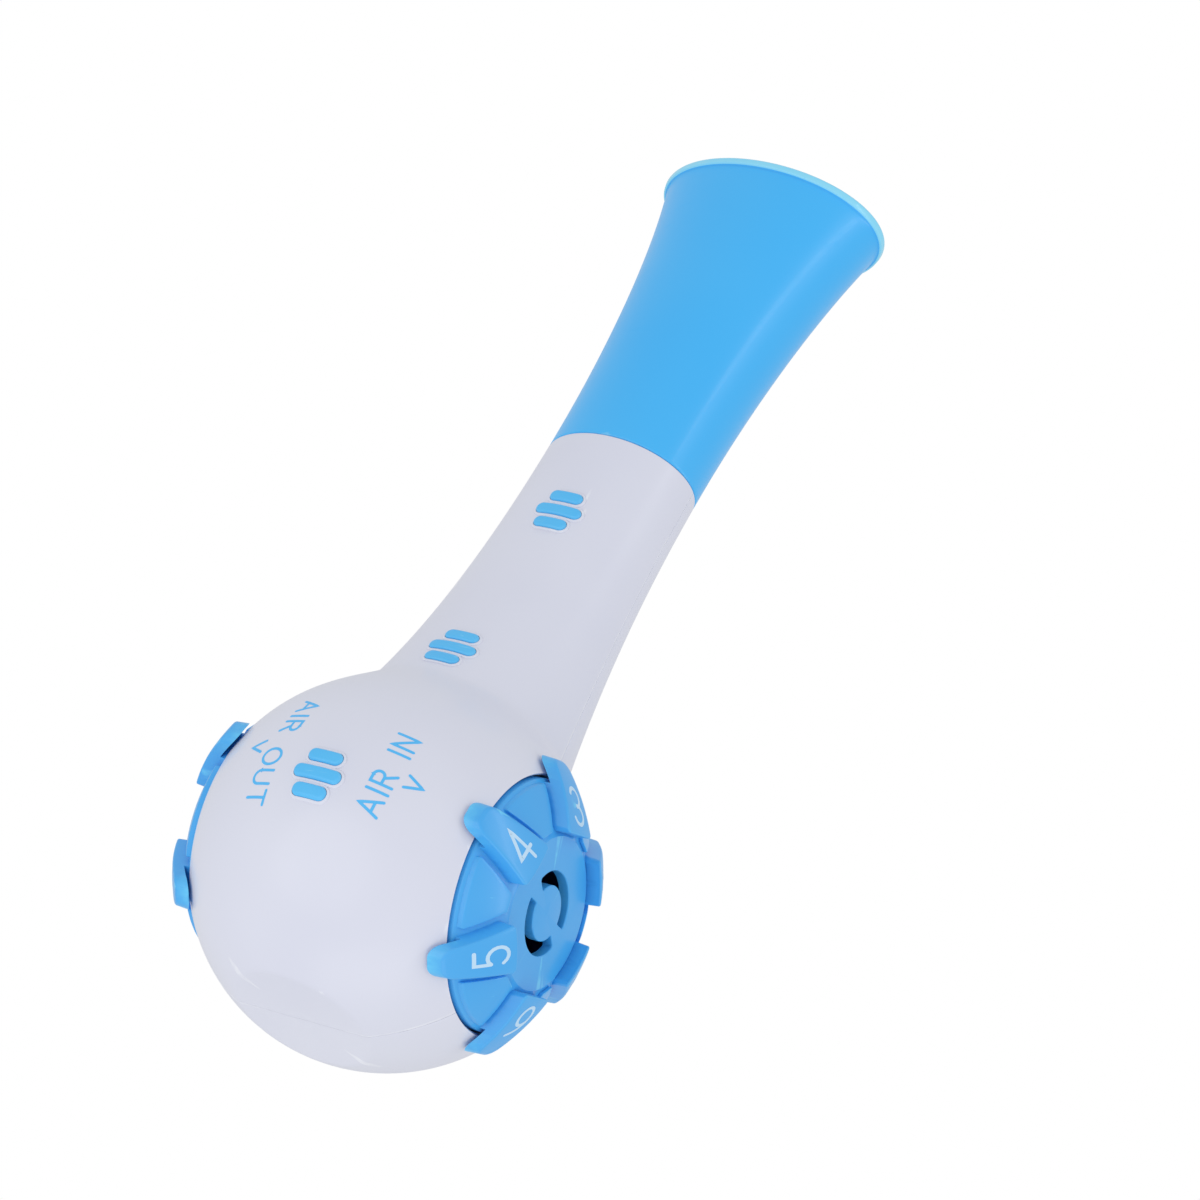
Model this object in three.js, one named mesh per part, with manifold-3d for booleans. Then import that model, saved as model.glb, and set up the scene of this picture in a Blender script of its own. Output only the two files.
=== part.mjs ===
// A handheld breathing trainer: a hollow ball and stem in two shells, an oval pull-off
// mouthpiece, and on each side of the ball a numbered dial that turns an orifice disc over a
// port plate, with a spring-loaded one-way valve behind it. The right-hand (+X) dial sets the
// load for breathing in and the left-hand (-X) dial the load for breathing out.
//
// Frame: millimetres, +Z up the stem, -Y the front with the grip pads, origin at the middle of
// the flat base that the ball stands on. Pieces are drawn about the ball's centre and the
// whole group is then lifted onto its base. Each side's pieces are drawn in a frame of their
// own: +Z out along the dial's axis and +X towards the pointer on the front of the ball.

import * as THREE from "three";
import { mergeVertices } from "three/addons/utils/BufferGeometryUtils.js";
import Module from "manifold-3d";

const wasm = await Module();
wasm.setup();

// ---------------------------------------------------------------- driving sizes (mm)

const BALL_RADIUS = 28.5;
const BASE_DEPTH = 26.4; // flat base below the ball's centre
const STEM_LENGTH = 49.3; // white stem that shows above the ball's top
const MOUTHPIECE_LENGTH = 57.9; // part of the mouthpiece that shows
const SHELL_WALL = 2.0;
const SEAM_GAP = 0.3; // between the front and rear shells

const STEM_HALF = { x: 12.7, y: 9.85 }; // stem section at its top
const NECK_HALF = { x: 15.8, y: 17.1 }; // stem section where it leaves the ball
const NECK_DROP = 2.85; // how far below the ball's top that section lies
const STEM_TAPER = { x: 1.9, y: 2.6 }; // powers of the stem's two taper curves
const BALL_BLEND = 2.9; // how softly the stem runs into the ball

const RIM_HALF = { x: 19.2, y: 12.4 }; // mouthpiece section at its rim, without the lip
const FLARE_SHARE = 0.88; // share of the width's flare that opens early
const FLARE_POWERS = { early: 2.05, late: 6, depth: 1.7 };
const MOUTHPIECE_WALL = 1.8;
const LIP = { proud: 0.5, height: 1.5 };

const ADAPTER = { wall: 2.0, below: 14, above: 13, flange: 1.0, flangeHeight: 2.2 };
const SEAL_GROOVE = { height: 6, width: 1.9, depth: 0.9, stand: 0.2 };
const SOCKET_LEDGE = { inset: 1.5, height: 1.4 };

const DIAL = {
  opening: 18.65, // radius of the round opening in the ball
  groove: -0.1, // groove level, above the ball's surface
  panel: 0.5, // raised panel level
  tabTop: 2.2, // tab top level
  tabUnder: 0.6, // underside of a tab's overhang
  overhang: 3.45, // how far a tab's tip reaches past the dial's edge
  tabInnerWidth: 7.8,
  tabOuterWidth: 4.8,
  tipRadius: 1.6,
  grooveWidth: 1.3, // groove between a tab and the panel beside it
  panelRim: 0.5, // from a panel's outer end to the dial's edge
  skirtWall: 1.6,
  domeWall: 1.8,
  flange: 1.55, // how far the skirt's foot reaches under the shell's collar rib
  flangeThickness: 1.6,
};
const HUB = { radius: 11.1, sunk: 2.3, thickness: 1.6 }; // sunk below the ball's highest point
const UNDERCUT = 0.4; // how far a tab's overhang is cut back inside the dial's edge
const CRESCENT = { outer: 6.13, inner: 4.05, sweep: 150 };
const GATE = { radius: 1.8, depth: 0.15, seat: 0.6 }; // dimple left by the mould in the hub
const WELL = { radius: 9.6, tubeWall: 1.7, ledgeHeight: 2.0, ledgeInset: 0.5, lip: 0.5 };

const DISC = { depth: 15.5, thickness: 1.6, holeCircle: 6.6 }; // depth below the ball's skin
const DISC_KEY = { width: 2.4, reach: 0.8 };
const PORT = { radius: 2.2, sealWidth: 0.6, sealHeight: 1.0, sealPlay: 0.1 };
const PLATE = { thickness: 2.0, platform: 0.5 }; // fixed port plate
const COLLAR = { wall: 3.05, foot: 1.3, footRoom: 4 }; // socket ring inside the ball
const PIVOT = { radius: 1.7, rise: 1.2, collarHeight: 0.4 };

const CUP = { outer: 12.8, wall: 1.5, floor: 1.6, groove: 0.8, seatRadius: 4.8 };
const EXHALE_FLOOR = 1.6; // inner face of the exhale valve cup, out from the centre
const INHALE_FLOOR = 3.0;
const POPPET = { radius: 6.6, thickness: 1.2, stud: 1.2 };
const GASKET_THICKNESS = 0.5;
const POST = { radius: 2.5, waist: 1.15, sunk: 5, collarWall: 1.1, collarHeight: 1.2 };
const RETAINER = { radius: 3.2, thickness: 1.0, chamfer: 0.3 };
const SPIDER = { halfWidth: 0.6, hubWall: 0.9, sunk: 0.5 }; // spokes over the inhale seat
const SPRING = { wire: 0.5, turns: 2.2 };
const INHALE_COIL = { bottom: 2.6, top: 2.0 }; // middle radii of the springs' coils
const EXHALE_COIL = { bottom: 5.2, top: 3.5 };

const LEAF = { thickness: 0.7, height: 3.0, sweep: 50, foot: 2.6, bump: 0.6, turn: 150 };
const LEAF_EYE = { wall: 0.6, inset: 0.5 }; // round its peg on the port plate
const NOTCH = { radius: 0.8, depth: 0.5, height: 3.0 };

const PIN = { radius: 1.2, length: 5, bossWall: 1.3 };
const PIN_PLACES = [[4.5, -20.5], [-4.5, -20.5]]; // x and height of the two alignment pins

const PAD = { long: 7.5, short: 5.4, width: 2.0, pitch: 2.75, proud: 0.75, depth: 0.8 };
const PAD_BUMP = { margin: 0.45, proud: 0.3 };
const PAD_PLACES = { belowStemTop: 16.2, aboveBall: 1.1, belowCentre: 4.3 };

const RUN = 0.3; // running clearance between pieces that move
const REST = 0.3; // clearance between fixed neighbours
const FAR = 60; // past the body on every side, for blocks that cut it in two
const OVERSHOOT = 1; // how far a cutter runs past the face that it opens

const INHALE_ORIFICES = [4.4, 3.8, 3.2, 2.7, 2.2, 1.7]; // diameters for settings 1 to 6
const EXHALE_ORIFICES = [4.4, 3.6, 2.9, 2.3, 1.8];
const INHALE_SETTING = 4; // number at the front pointer
const EXHALE_SETTING = 2;
const EXHALE_OFFSET = 12; // degrees past that number

// ---------------------------------------------------------------- heights above the ball's centre

const STEM_TOP = BALL_RADIUS + STEM_LENGTH;
const NECK_HEIGHT = BALL_RADIUS - NECK_DROP;
const PAD_ROWS = {
  upper: STEM_TOP - PAD_PLACES.belowStemTop,
  middle: BALL_RADIUS + PAD_PLACES.aboveBall,
  lower: -PAD_PLACES.belowCentre,
};

// ---------------------------------------------------------------- finishes

const finish = (color, roughness, metalness = 0) => ({ color, roughness, metalness });
const WHITE_SHELL = finish(0xdfe1ed, 0.32);
const BLUE_PLASTIC = finish(0x4daff3, 0.38);
const BLUE_MOUTHPIECE = finish(0x4db7f5, 0.4);
const WHITE_INNER = finish(0xf2f3f6, 0.5);
const SILICONE = finish(0xc9d4dc, 0.6);
const STEEL = finish(0xb8bcc2, 0.25, 1);

const piece = (name, solid, look) => {
  const mesh = new THREE.Mesh(geometryOf(solid), new THREE.MeshStandardMaterial(look));
  mesh.name = name;
  return mesh;
};

// ---------------------------------------------------------------- solids

const SIDES = 32; // facets round the body
const INNER_SIDES = 20; // facets round a hollow
const ROUND = 30; // facets round a dial: whole facets between its tabs
const MEDIUM = 16; // facets round a post, gasket or collar
const SMALL = 10; // facets round a hole or pin

function solidOf(geometry) {
  geometry.deleteAttribute("normal");
  geometry.deleteAttribute("uv");
  const merged = mergeVertices(geometry, 1e-4);
  const mesh = new wasm.Mesh({
    numProp: 3,
    vertProperties: new Float32Array(merged.attributes.position.array),
    triVerts: new Uint32Array(merged.index.array),
  });
  return new wasm.Manifold(mesh);
}

function geometryOf(solid) {
  const mesh = solid.getMesh();
  const geometry = new THREE.BufferGeometry();
  geometry.setAttribute("position", new THREE.BufferAttribute(mesh.vertProperties, 3));
  geometry.setIndex(new THREE.BufferAttribute(mesh.triVerts, 1));
  return geometry;
}

// Rows of [height, half width along X, half depth along Y], up the outside and, on a tube,
// back down the inside. A solid's first and last rows are closed onto the axis.
function loft(rows, isTube = false, sides = SIDES) {
  const first = rows[0];
  const last = rows[rows.length - 1];
  const path = isTube ? [...rows, first] : [[first[0], 0, 0], ...rows, [last[0], 0, 0]];
  const points = path.map(([z, x]) => new THREE.Vector2(x, z));
  const geometry = new THREE.LatheGeometry(points, sides);
  geometry.rotateX(Math.PI / 2);
  const position = geometry.attributes.position;
  for (let i = 0; i < position.count; i += 1) {
    const [, x, y] = path[i % path.length];
    if (x > 0) position.setY(i, (position.getY(i) * y) / x);
  }
  return solidOf(geometry);
}

// A turned piece about +Z from [radius, height] points, outside upwards.
function turned(points, isTube = false, sides = ROUND) {
  return loft(points.map(([r, z]) => [z, r, r]), isTube, sides);
}

const disc = (radius, low, high, sides = ROUND) =>
  turned([[radius, low], [radius, high]], false, sides);

const ring = (inner, outer, low, high, sides = ROUND) =>
  turned([[outer, low], [outer, high], [inner, high], [inner, low]], true, sides);

// A shape in the XY plane extruded from one height to another.
function prism(shape, low, high, curveSegments = 6) {
  const options = { depth: high - low, bevelEnabled: false, curveSegments };
  const geometry = new THREE.ExtrudeGeometry(shape, options);
  geometry.translate(0, 0, low);
  return solidOf(geometry);
}

function box(low, high) {
  const size = high.map((value, i) => value - low[i]);
  const geometry = new THREE.BoxGeometry(...size);
  geometry.translate(...low.map((value, i) => value + size[i] / 2));
  return solidOf(geometry);
}

const joined = (first, ...others) => others.reduce((sum, next) => sum.add(next), first);
const cut = (first, ...others) => others.reduce((rest, next) => rest.subtract(next), first);
const circle = (angle, radius) => {
  const turn = THREE.MathUtils.degToRad(angle);
  return [radius * Math.cos(turn), radius * Math.sin(turn)];
};

// ---------------------------------------------------------------- outer form

const RIM_TOP = STEM_TOP + MOUTHPIECE_LENGTH;
const BLEND_START = 0.75; // heights of the ball-to-stem blend, in ball radii
const BLEND_END = 1.1;

function smoothMax(a, b, width) {
  const share = THREE.MathUtils.clamp(0.5 + (b - a) / (2 * width), 0, 1);
  return a * (1 - share) + b * share + width * share * (1 - share);
}

// Half width of the ball and stem along one axis at a height, grown by an offset.
function bodyHalf(axis, z, offset) {
  const radius = BALL_RADIUS + offset;
  const ball = Math.sqrt(Math.max(radius * radius - z * z, 0));
  if (z < 0) return ball;
  const down = (STEM_TOP - z) / (STEM_TOP - NECK_HEIGHT);
  const taper = (NECK_HALF[axis] - STEM_HALF[axis]) * Math.max(down, 0) ** STEM_TAPER[axis];
  return z < NECK_HEIGHT / 2 ? ball : smoothMax(ball, STEM_HALF[axis] + taper + offset, BALL_BLEND);
}

// Rows up the ball to where the blend begins, through the blend, and on up the stem.
function bodyHeights(low, high, offset, detail) {
  const radius = BALL_RADIUS + offset;
  const heights = [low];
  const start = Math.asin(Math.max(low / radius, -1));
  const crest = Math.asin(BLEND_START);
  const ballRows = Math.round(7 * detail);
  for (let i = 1; i <= ballRows; i += 1) {
    heights.push(radius * Math.sin(start + ((crest - start) * i) / ballRows));
  }
  const blendRows = Math.round(4 * detail);
  const from = radius * BLEND_START;
  const to = BALL_RADIUS * BLEND_END;
  for (let i = 1; i <= blendRows; i += 1) heights.push(from + ((to - from) * i) / blendRows);
  const stemRows = Math.round(4 * detail);
  for (let i = 1; i <= stemRows; i += 1) heights.push(to + ((high - to) * i) / stemRows);
  return heights;
}

// The ball and stem as one solid, grown by an offset, between two heights.
function bodySolid(offset, low = -BASE_DEPTH, high = STEM_TOP) {
  const detail = offset < -1 ? 0.7 : 1;
  const rows = bodyHeights(low, high, offset, detail);
  return loft(rows.map((z) => [z, bodyHalf("x", z, offset), bodyHalf("y", z, offset)]),
    false, offset < -1 ? INNER_SIDES : SIDES);
}

function mouthpieceHalf(axis, z) {
  const up = (z - STEM_TOP) / MOUTHPIECE_LENGTH;
  const early = up ** FLARE_POWERS.early;
  const late = up ** FLARE_POWERS.late;
  const width = FLARE_SHARE * early + (1 - FLARE_SHARE) * late;
  const flare = axis === "x" ? width : up ** FLARE_POWERS.depth;
  return STEM_HALF[axis] + (RIM_HALF[axis] - STEM_HALF[axis]) * flare;
}

// ---------------------------------------------------------------- stack heights of a side

const DISC_TOP = BALL_RADIUS - DISC.depth;
const DISC_BOTTOM = DISC_TOP - DISC.thickness;
const PLATFORM_TOP = DISC_BOTTOM - 2 * RUN;
const PLATE_TOP = PLATFORM_TOP - PLATE.platform;
const PLATE_BOTTOM = PLATE_TOP - PLATE.thickness;
const RETAINER_BOTTOM = PLATE_BOTTOM - REST - RETAINER.thickness;
const HUB_HEIGHT = BALL_RADIUS - HUB.sunk;
const POST_TOP = BALL_RADIUS - POST.sunk;
const DIAL_RADIUS = DIAL.opening - RUN;
const TAB_REACH = DIAL_RADIUS + DIAL.overhang;
const FLANGE_RADIUS = DIAL_RADIUS + DIAL.flange;
const FLANGE_BOTTOM = DISC_BOTTOM + REST;
const FLANGE_TOP = FLANGE_BOTTOM + DIAL.flangeThickness;
const SKIRT_INNER = DIAL_RADIUS - DIAL.skirtWall;
const TUBE_OUTER = WELL.radius + REST + WELL.tubeWall;
const DISC_RADIUS = WELL.radius;
const DISC_POCKET = DISC_RADIUS + REST;
const LEDGE_RADIUS = WELL.radius - WELL.ledgeInset;
const PLATE_RADIUS = FLANGE_RADIUS;
const COLLAR_OUTER = DIAL.opening + COLLAR.wall;
const COLLAR_BOTTOM = PLATE_BOTTOM - COLLAR.foot;
const PLATFORM_RADIUS = TUBE_OUTER + REST;

const onSphere = (level, radius) => Math.sqrt((BALL_RADIUS + level) ** 2 - radius ** 2);

// Points along a sphere at a level above the ball, from one radius in to another.
function sphereArc(level, from, to, steps) {
  return Array.from({ length: steps + 1 }, (_, i) => {
    const radius = from + ((to - from) * i) / steps;
    return [radius, onSphere(level, radius)];
  });
}

// The part of a ball of the given level that lies above a height.
function cap(level, low) {
  const wide = Math.sqrt((BALL_RADIUS + level) ** 2 - low ** 2);
  return turned([
    [wide, low], ...sphereArc(level, TAB_REACH + 0.5, DIAL_RADIUS, 2),
    ...sphereArc(level, DIAL_RADIUS, HUB.radius, 2).slice(1),
    [WELL.radius - 1.5, onSphere(level, WELL.radius - 1.5)],
  ]);
}

// ---------------------------------------------------------------- shells

// Moves a side's solid from its own frame into the body's: outward is +X or -X.
function onSide(solid, outward) {
  const matrix = sideMatrix(outward);
  return solid.transform(matrix.elements);
}

function sideMatrix(outward) {
  const out = new THREE.Vector3(outward, 0, 0);
  const front = new THREE.Vector3(0, -1, 0);
  return new THREE.Matrix4().makeBasis(front, out.clone().cross(front), out);
}

function collar() {
  const top = onSphere(-SHELL_WALL / 2, COLLAR_OUTER);
  return ring(DIAL.opening - OVERSHOOT, COLLAR_OUTER, COLLAR_BOTTOM, top);
}

function sideCuts() {
  const low = COLLAR_BOTTOM - OVERSHOOT;
  const opening = disc(DIAL.opening, PLATE_BOTTOM - REST, BALL_RADIUS + OVERSHOOT);
  const plateGroove = disc(PLATE_RADIUS + REST, PLATE_BOTTOM - REST, PLATE_TOP + REST);
  const flangeGroove = disc(FLANGE_RADIUS + RUN, FLANGE_BOTTOM - RUN, FLANGE_TOP + RUN);
  const foot = disc(CUP.outer + COLLAR.footRoom, low, PLATE_BOTTOM);
  return joined(opening, plateGroove, flangeGroove, foot);
}

const adapterOuter = (axis) => STEM_HALF[axis] - SHELL_WALL - REST;

function adapterGroove() {
  const low = STEM_TOP - ADAPTER.below - REST;
  const high = STEM_TOP - ADAPTER.below + ADAPTER.flangeHeight + REST;
  const half = (axis) => adapterOuter(axis) + ADAPTER.flange + REST;
  return loft([[low, half("x"), half("y")], [high, half("x"), half("y")]]);
}

function hollowBody() {
  const outer = bodySolid(0);
  const bore = STEM_TOP + OVERSHOOT;
  const inner = bodySolid(-SHELL_WALL, -BASE_DEPTH + SHELL_WALL, bore);
  let body = outer.subtract(inner);
  for (const outward of [1, -1]) {
    body = body.add(onSide(collar(), outward)).subtract(onSide(sideCuts(), outward));
  }
  return body.subtract(adapterGroove());
}

const pinAlongY = (radius, low, high, [x, z]) =>
  disc(radius, low, high, SMALL).rotate([-90, 0, 0]).translate([x, 0, z]);

// Two pins on the front shell's bosses drop into sockets in the rear shell's bosses.
function frontShell(body) {
  const half = cut(body, box([-FAR, -SEAM_GAP / 2, -FAR], [FAR, FAR, 3 * FAR]));
  const inside = bodySolid(-SHELL_WALL / 2, -BASE_DEPTH + SHELL_WALL / 2, STEM_TOP);
  const parts = PIN_PLACES.map((place) => {
    const boss = pinAlongY(PIN.radius + PIN.bossWall, -BALL_RADIUS, -SEAM_GAP / 2, place);
    const pin = pinAlongY(PIN.radius, -SEAM_GAP, PIN.length, place);
    return boss.intersect(inside).add(pin);
  });
  return joined(half, ...parts, padBumps().subtract(bodySolid(-SHELL_WALL / 2)))
    .subtract(padPockets());
}

function rearShell(body) {
  const half = cut(body, box([-FAR, -FAR, -FAR], [FAR, SEAM_GAP / 2, 3 * FAR]));
  const inside = bodySolid(-SHELL_WALL / 2, -BASE_DEPTH + SHELL_WALL / 2, STEM_TOP);
  const bosses = PIN_PLACES.map((place) =>
    pinAlongY(PIN.radius + PIN.bossWall, SEAM_GAP / 2, BALL_RADIUS, place).intersect(inside));
  const sockets = PIN_PLACES.map((place) =>
    pinAlongY(PIN.radius + REST, 0, PIN.length + REST, place));
  return cut(joined(half, ...bosses), ...sockets);
}

// ---------------------------------------------------------------- grip pads

// A round-ended slot shape along X, drawn in the XZ plane and pushed through the front.
function padPrism(length, width, z) {
  const radius = width / 2;
  const reach = length / 2 - radius;
  const shape = new THREE.Shape();
  shape.moveTo(-reach, -radius);
  shape.lineTo(reach, -radius);
  shape.absarc(reach, 0, radius, -Math.PI / 2, Math.PI / 2);
  shape.lineTo(-reach, radius);
  shape.absarc(-reach, 0, radius, Math.PI / 2, Math.PI * 1.5);
  return prism(shape, 0, BALL_RADIUS + 5, 3).rotate([90, 0, 0]).translate([0, 0, z]);
}

const padRows = () =>
  Object.entries(PAD_ROWS).flatMap(([row, height]) =>
    [1, 0, -1].map((step, i) => ({
      name: `grip_pad_${row}_${i + 1}`,
      length: step === 0 ? PAD.long : PAD.short,
      z: height + step * PAD.pitch,
    })));

const grownPads = (margin) =>
  padRows()
    .map((pad) => padPrism(pad.length + 2 * margin, PAD.width + 2 * margin, pad.z))
    .reduce((sum, next) => sum.add(next));

const padBumps = () => grownPads(PAD_BUMP.margin).intersect(bodySolid(PAD_BUMP.proud));
const padPockets = () => grownPads(REST).subtract(bodySolid(-PAD.depth - REST));

function gripPads() {
  const skin = bodySolid(PAD.proud).subtract(bodySolid(-PAD.depth));
  return padRows().map((pad) =>
    piece(pad.name, padPrism(pad.length, PAD.width, pad.z).intersect(skin), BLUE_PLASTIC));
}

// ---------------------------------------------------------------- mouthpiece and its adapter

function neckAdapter() {
  const [x, y] = ["x", "y"].map(adapterOuter);
  const low = STEM_TOP - ADAPTER.below;
  const high = STEM_TOP + ADAPTER.above;
  const shelf = low + ADAPTER.flangeHeight;
  const groove = STEM_TOP + SEAL_GROOVE.height;
  const grooveTop = groove + SEAL_GROOVE.width;
  const row = (z, grow) => [z, x + grow, y + grow];
  return loft([
    row(low, ADAPTER.flange), row(shelf, ADAPTER.flange), row(shelf, 0),
    row(groove, 0), row(groove, -SEAL_GROOVE.depth),
    row(grooveTop, -SEAL_GROOVE.depth), row(grooveTop, 0),
    row(high - 0.8, 0), row(high, -0.6), row(high, -ADAPTER.wall), row(low, -ADAPTER.wall),
  ], true, INNER_SIDES);
}

function mouthpieceSeal() {
  const [x, y] = ["x", "y"].map(adapterOuter);
  const low = STEM_TOP + SEAL_GROOVE.height + REST;
  const high = low + SEAL_GROOVE.width - 2 * REST;
  const middle = (low + high) / 2;
  const inner = REST - SEAL_GROOVE.depth;
  const row = (z, grow) => [z, x + grow, y + grow];
  return loft([
    row(low, inner + 0.2), row(low, 0), row(middle, SEAL_GROOVE.stand), row(high, 0),
    row(high, inner + 0.2), row(middle, inner),
  ], true, INNER_SIDES);
}

function mouthpiece() {
  const start = STEM_TOP + REST;
  const socketTop = STEM_TOP + ADAPTER.above + REST;
  const ledgeTop = socketTop + SOCKET_LEDGE.height;
  const socket = (axis) => adapterOuter(axis) + SEAL_GROOVE.stand + REST;
  const lipLow = RIM_TOP - LIP.height;
  const outer = (z, grow) => [z, mouthpieceHalf("x", z) + grow, mouthpieceHalf("y", z) + grow];
  const rows = Array.from({ length: 7 }, (_, i) =>
    outer(start + ((lipLow - start) * i) / 6, 0));
  rows.push(outer(lipLow + 0.3, LIP.proud), outer(RIM_TOP - 0.4, LIP.proud));
  rows.push(outer(RIM_TOP, LIP.proud - 0.4), outer(RIM_TOP, 0.3 - MOUTHPIECE_WALL));
  const throat = ledgeTop + 2 * SOCKET_LEDGE.inset;
  for (let i = 0; i <= 4; i += 1) {
    rows.push(outer(RIM_TOP - 1 + ((throat - RIM_TOP + 1) * i) / 4, -MOUTHPIECE_WALL));
  }
  const ledge = (z, inset) => [z, socket("x") - inset, socket("y") - inset];
  rows.push(ledge(ledgeTop, SOCKET_LEDGE.inset), ledge(socketTop, SOCKET_LEDGE.inset));
  rows.push(ledge(socketTop, 0), ledge(start, 0));
  return loft(rows, true);
}

// ---------------------------------------------------------------- dials

function tabShape() {
  const inner = DIAL.tabInnerWidth / 2;
  const outer = DIAL.tabOuterWidth / 2;
  const start = HUB.radius + 0.2;
  const reach = TAB_REACH;
  const bend = DIAL.tipRadius;
  const shape = new THREE.Shape();
  shape.moveTo(start, -inner);
  shape.lineTo(reach - bend, -outer);
  shape.quadraticCurveTo(reach, -outer, reach, -outer + bend);
  shape.lineTo(reach, outer - bend);
  shape.quadraticCurveTo(reach, outer, reach - bend, outer);
  shape.lineTo(start, inner);
  shape.closePath();
  return shape;
}

// The raised panel between two tabs: its sides keep the groove's width off both tabs.
function panelShape(count, start) {
  const slope = (DIAL.tabInnerWidth - DIAL.tabOuterWidth) / 2 / (TAB_REACH - HUB.radius);
  const half = Math.PI / count;
  const corner = (radius) => {
    const across = DIAL.tabInnerWidth / 2 - slope * (radius - HUB.radius) + DIAL.grooveWidth;
    return half - Math.asin(Math.min(across / radius, 1));
  };
  const rim = DIAL_RADIUS - DIAL.panelRim;
  const wide = corner(rim);
  const narrow = corner(start);
  const shape = new THREE.Shape();
  shape.absarc(0, 0, rim, -wide, wide, false);
  shape.absarc(0, 0, start, Math.max(narrow, 0.02), Math.min(-narrow, -0.02), true);
  shape.closePath();
  return shape;
}

// Tabs and panels, with the tab at angle zero over the pointer.
function dialTop(count, panelStart) {
  const high = BALL_RADIUS + FAR;
  const core = cap(DIAL.groove - DIAL.domeWall / 2, FLANGE_TOP);
  const overhang = cap(DIAL.tabUnder, FLANGE_BOTTOM)
    .subtract(disc(DIAL_RADIUS - UNDERCUT, 0, high));
  const tab = prism(tabShape(), FLANGE_TOP, high, 2)
    .intersect(cap(DIAL.tabTop, FLANGE_BOTTOM))
    .subtract(core)
    .subtract(overhang);
  const panel = prism(panelShape(count, panelStart), FLANGE_TOP, high, 3)
    .intersect(cap(DIAL.panel, FLANGE_TOP))
    .subtract(core);
  const step = 360 / count;
  return Array.from({ length: count }, (_, i) =>
    joined(tab.rotate([0, 0, i * step]), panel.rotate([0, 0, (i + 0.5) * step])))
    .reduce((sum, next) => sum.add(next));
}

function skirtAndDome(innerPoints) {
  const inner = DIAL.groove - DIAL.domeWall;
  return turned([
    [SKIRT_INNER, FLANGE_BOTTOM], [FLANGE_RADIUS, FLANGE_BOTTOM], [FLANGE_RADIUS, FLANGE_TOP],
    [DIAL_RADIUS, FLANGE_TOP], ...sphereArc(DIAL.groove, DIAL_RADIUS, HUB.radius, 2),
    ...innerPoints,
    [LEDGE_RADIUS, DISC_TOP + WELL.ledgeHeight], [LEDGE_RADIUS, DISC_TOP + REST],
    [DISC_POCKET, DISC_TOP + REST], [DISC_POCKET, PLATFORM_TOP + RUN],
    [TUBE_OUTER, PLATFORM_TOP + RUN], [TUBE_OUTER, onSphere(inner, TUBE_OUTER)],
    ...sphereArc(inner, TUBE_OUTER, SKIRT_INNER, 2).slice(1),
  ], true);
}

// Click notches inside the skirt, and slots for the orifice disc's two keys.
function dialCuts(count) {
  const notches = Array.from({ length: count }, (_, i) => {
    const [x, y] = circle(LEAF.turn + (i * 360) / count, SKIRT_INNER + NOTCH.depth - NOTCH.radius);
    return disc(NOTCH.radius, FLANGE_BOTTOM - OVERSHOOT, FLANGE_BOTTOM + NOTCH.height, 8)
      .translate([x, y, 0]);
  });
  const reach = DISC_RADIUS + DISC_KEY.reach + REST;
  const half = DISC_KEY.width / 2 + REST;
  const slot = box([-reach, -half, 0], [reach, half, DISC_TOP + REST]);
  return joined(slot, ...notches);
}

function inhaleDial() {
  const count = INHALE_ORIFICES.length;
  const hubUnder = HUB_HEIGHT - HUB.thickness;
  const body = skirtAndDome([
    [HUB.radius, HUB_HEIGHT], [GATE.radius, HUB_HEIGHT], [GATE.radius, hubUnder],
    [WELL.radius, hubUnder],
    [WELL.radius, DISC_TOP + WELL.ledgeHeight],
  ]);
  const plug = disc(GATE.radius + GATE.seat, hubUnder + GATE.depth, HUB_HEIGHT - GATE.depth);
  const slot = crescent();
  return joined(body, plug, dialTop(count, HUB.radius + 1.2))
    .subtract(slot).subtract(slot.rotate([0, 0, 180])).subtract(dialCuts(count));
}

function crescent() {
  const half = THREE.MathUtils.degToRad(CRESCENT.sweep / 2);
  const shape = new THREE.Shape();
  shape.absarc(0, 0, CRESCENT.outer, Math.PI / 2 - half, Math.PI / 2 + half, false);
  shape.absarc(0, 0, CRESCENT.inner, Math.PI / 2 + half, Math.PI / 2 - half, true);
  shape.closePath();
  return prism(shape, HUB_HEIGHT - HUB.thickness - OVERSHOOT, HUB_HEIGHT + OVERSHOOT, 8);
}

function exhaleDial() {
  const count = EXHALE_ORIFICES.length;
  const body = skirtAndDome([
    [WELL.radius + WELL.lip, onSphere(DIAL.groove, WELL.radius + WELL.lip)],
    [WELL.radius, onSphere(DIAL.groove, WELL.radius) - WELL.lip - 0.1],
    [WELL.radius, DISC_TOP + WELL.ledgeHeight],
  ]);
  const bore = disc(WELL.radius, DISC_TOP + WELL.ledgeHeight, BALL_RADIUS + FAR);
  return joined(body, dialTop(count, HUB.radius + 0.4)).subtract(bore).subtract(dialCuts(count));
}

// ---------------------------------------------------------------- orifice discs and plates

// The hole for the chosen setting lies over the port, towards the pointer.
function orificeDisc(diameters, setting, centre) {
  const step = 360 / diameters.length;
  const holes = diameters.map((diameter, i) => {
    const [x, y] = circle((i + 1 - setting) * step, DISC.holeCircle);
    return disc(diameter / 2, DISC_BOTTOM - OVERSHOOT, DISC_TOP + OVERSHOOT, SMALL)
      .translate([x, y, 0]);
  });
  const reach = DISC_RADIUS + DISC_KEY.reach;
  const half = DISC_KEY.width / 2;
  const keys = box([-reach, -half, DISC_BOTTOM], [reach, half, DISC_TOP]);
  return cut(joined(disc(DISC_RADIUS, DISC_BOTTOM, DISC_TOP), keys, centre.boss),
    centre.hole, ...holes);
}

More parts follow.
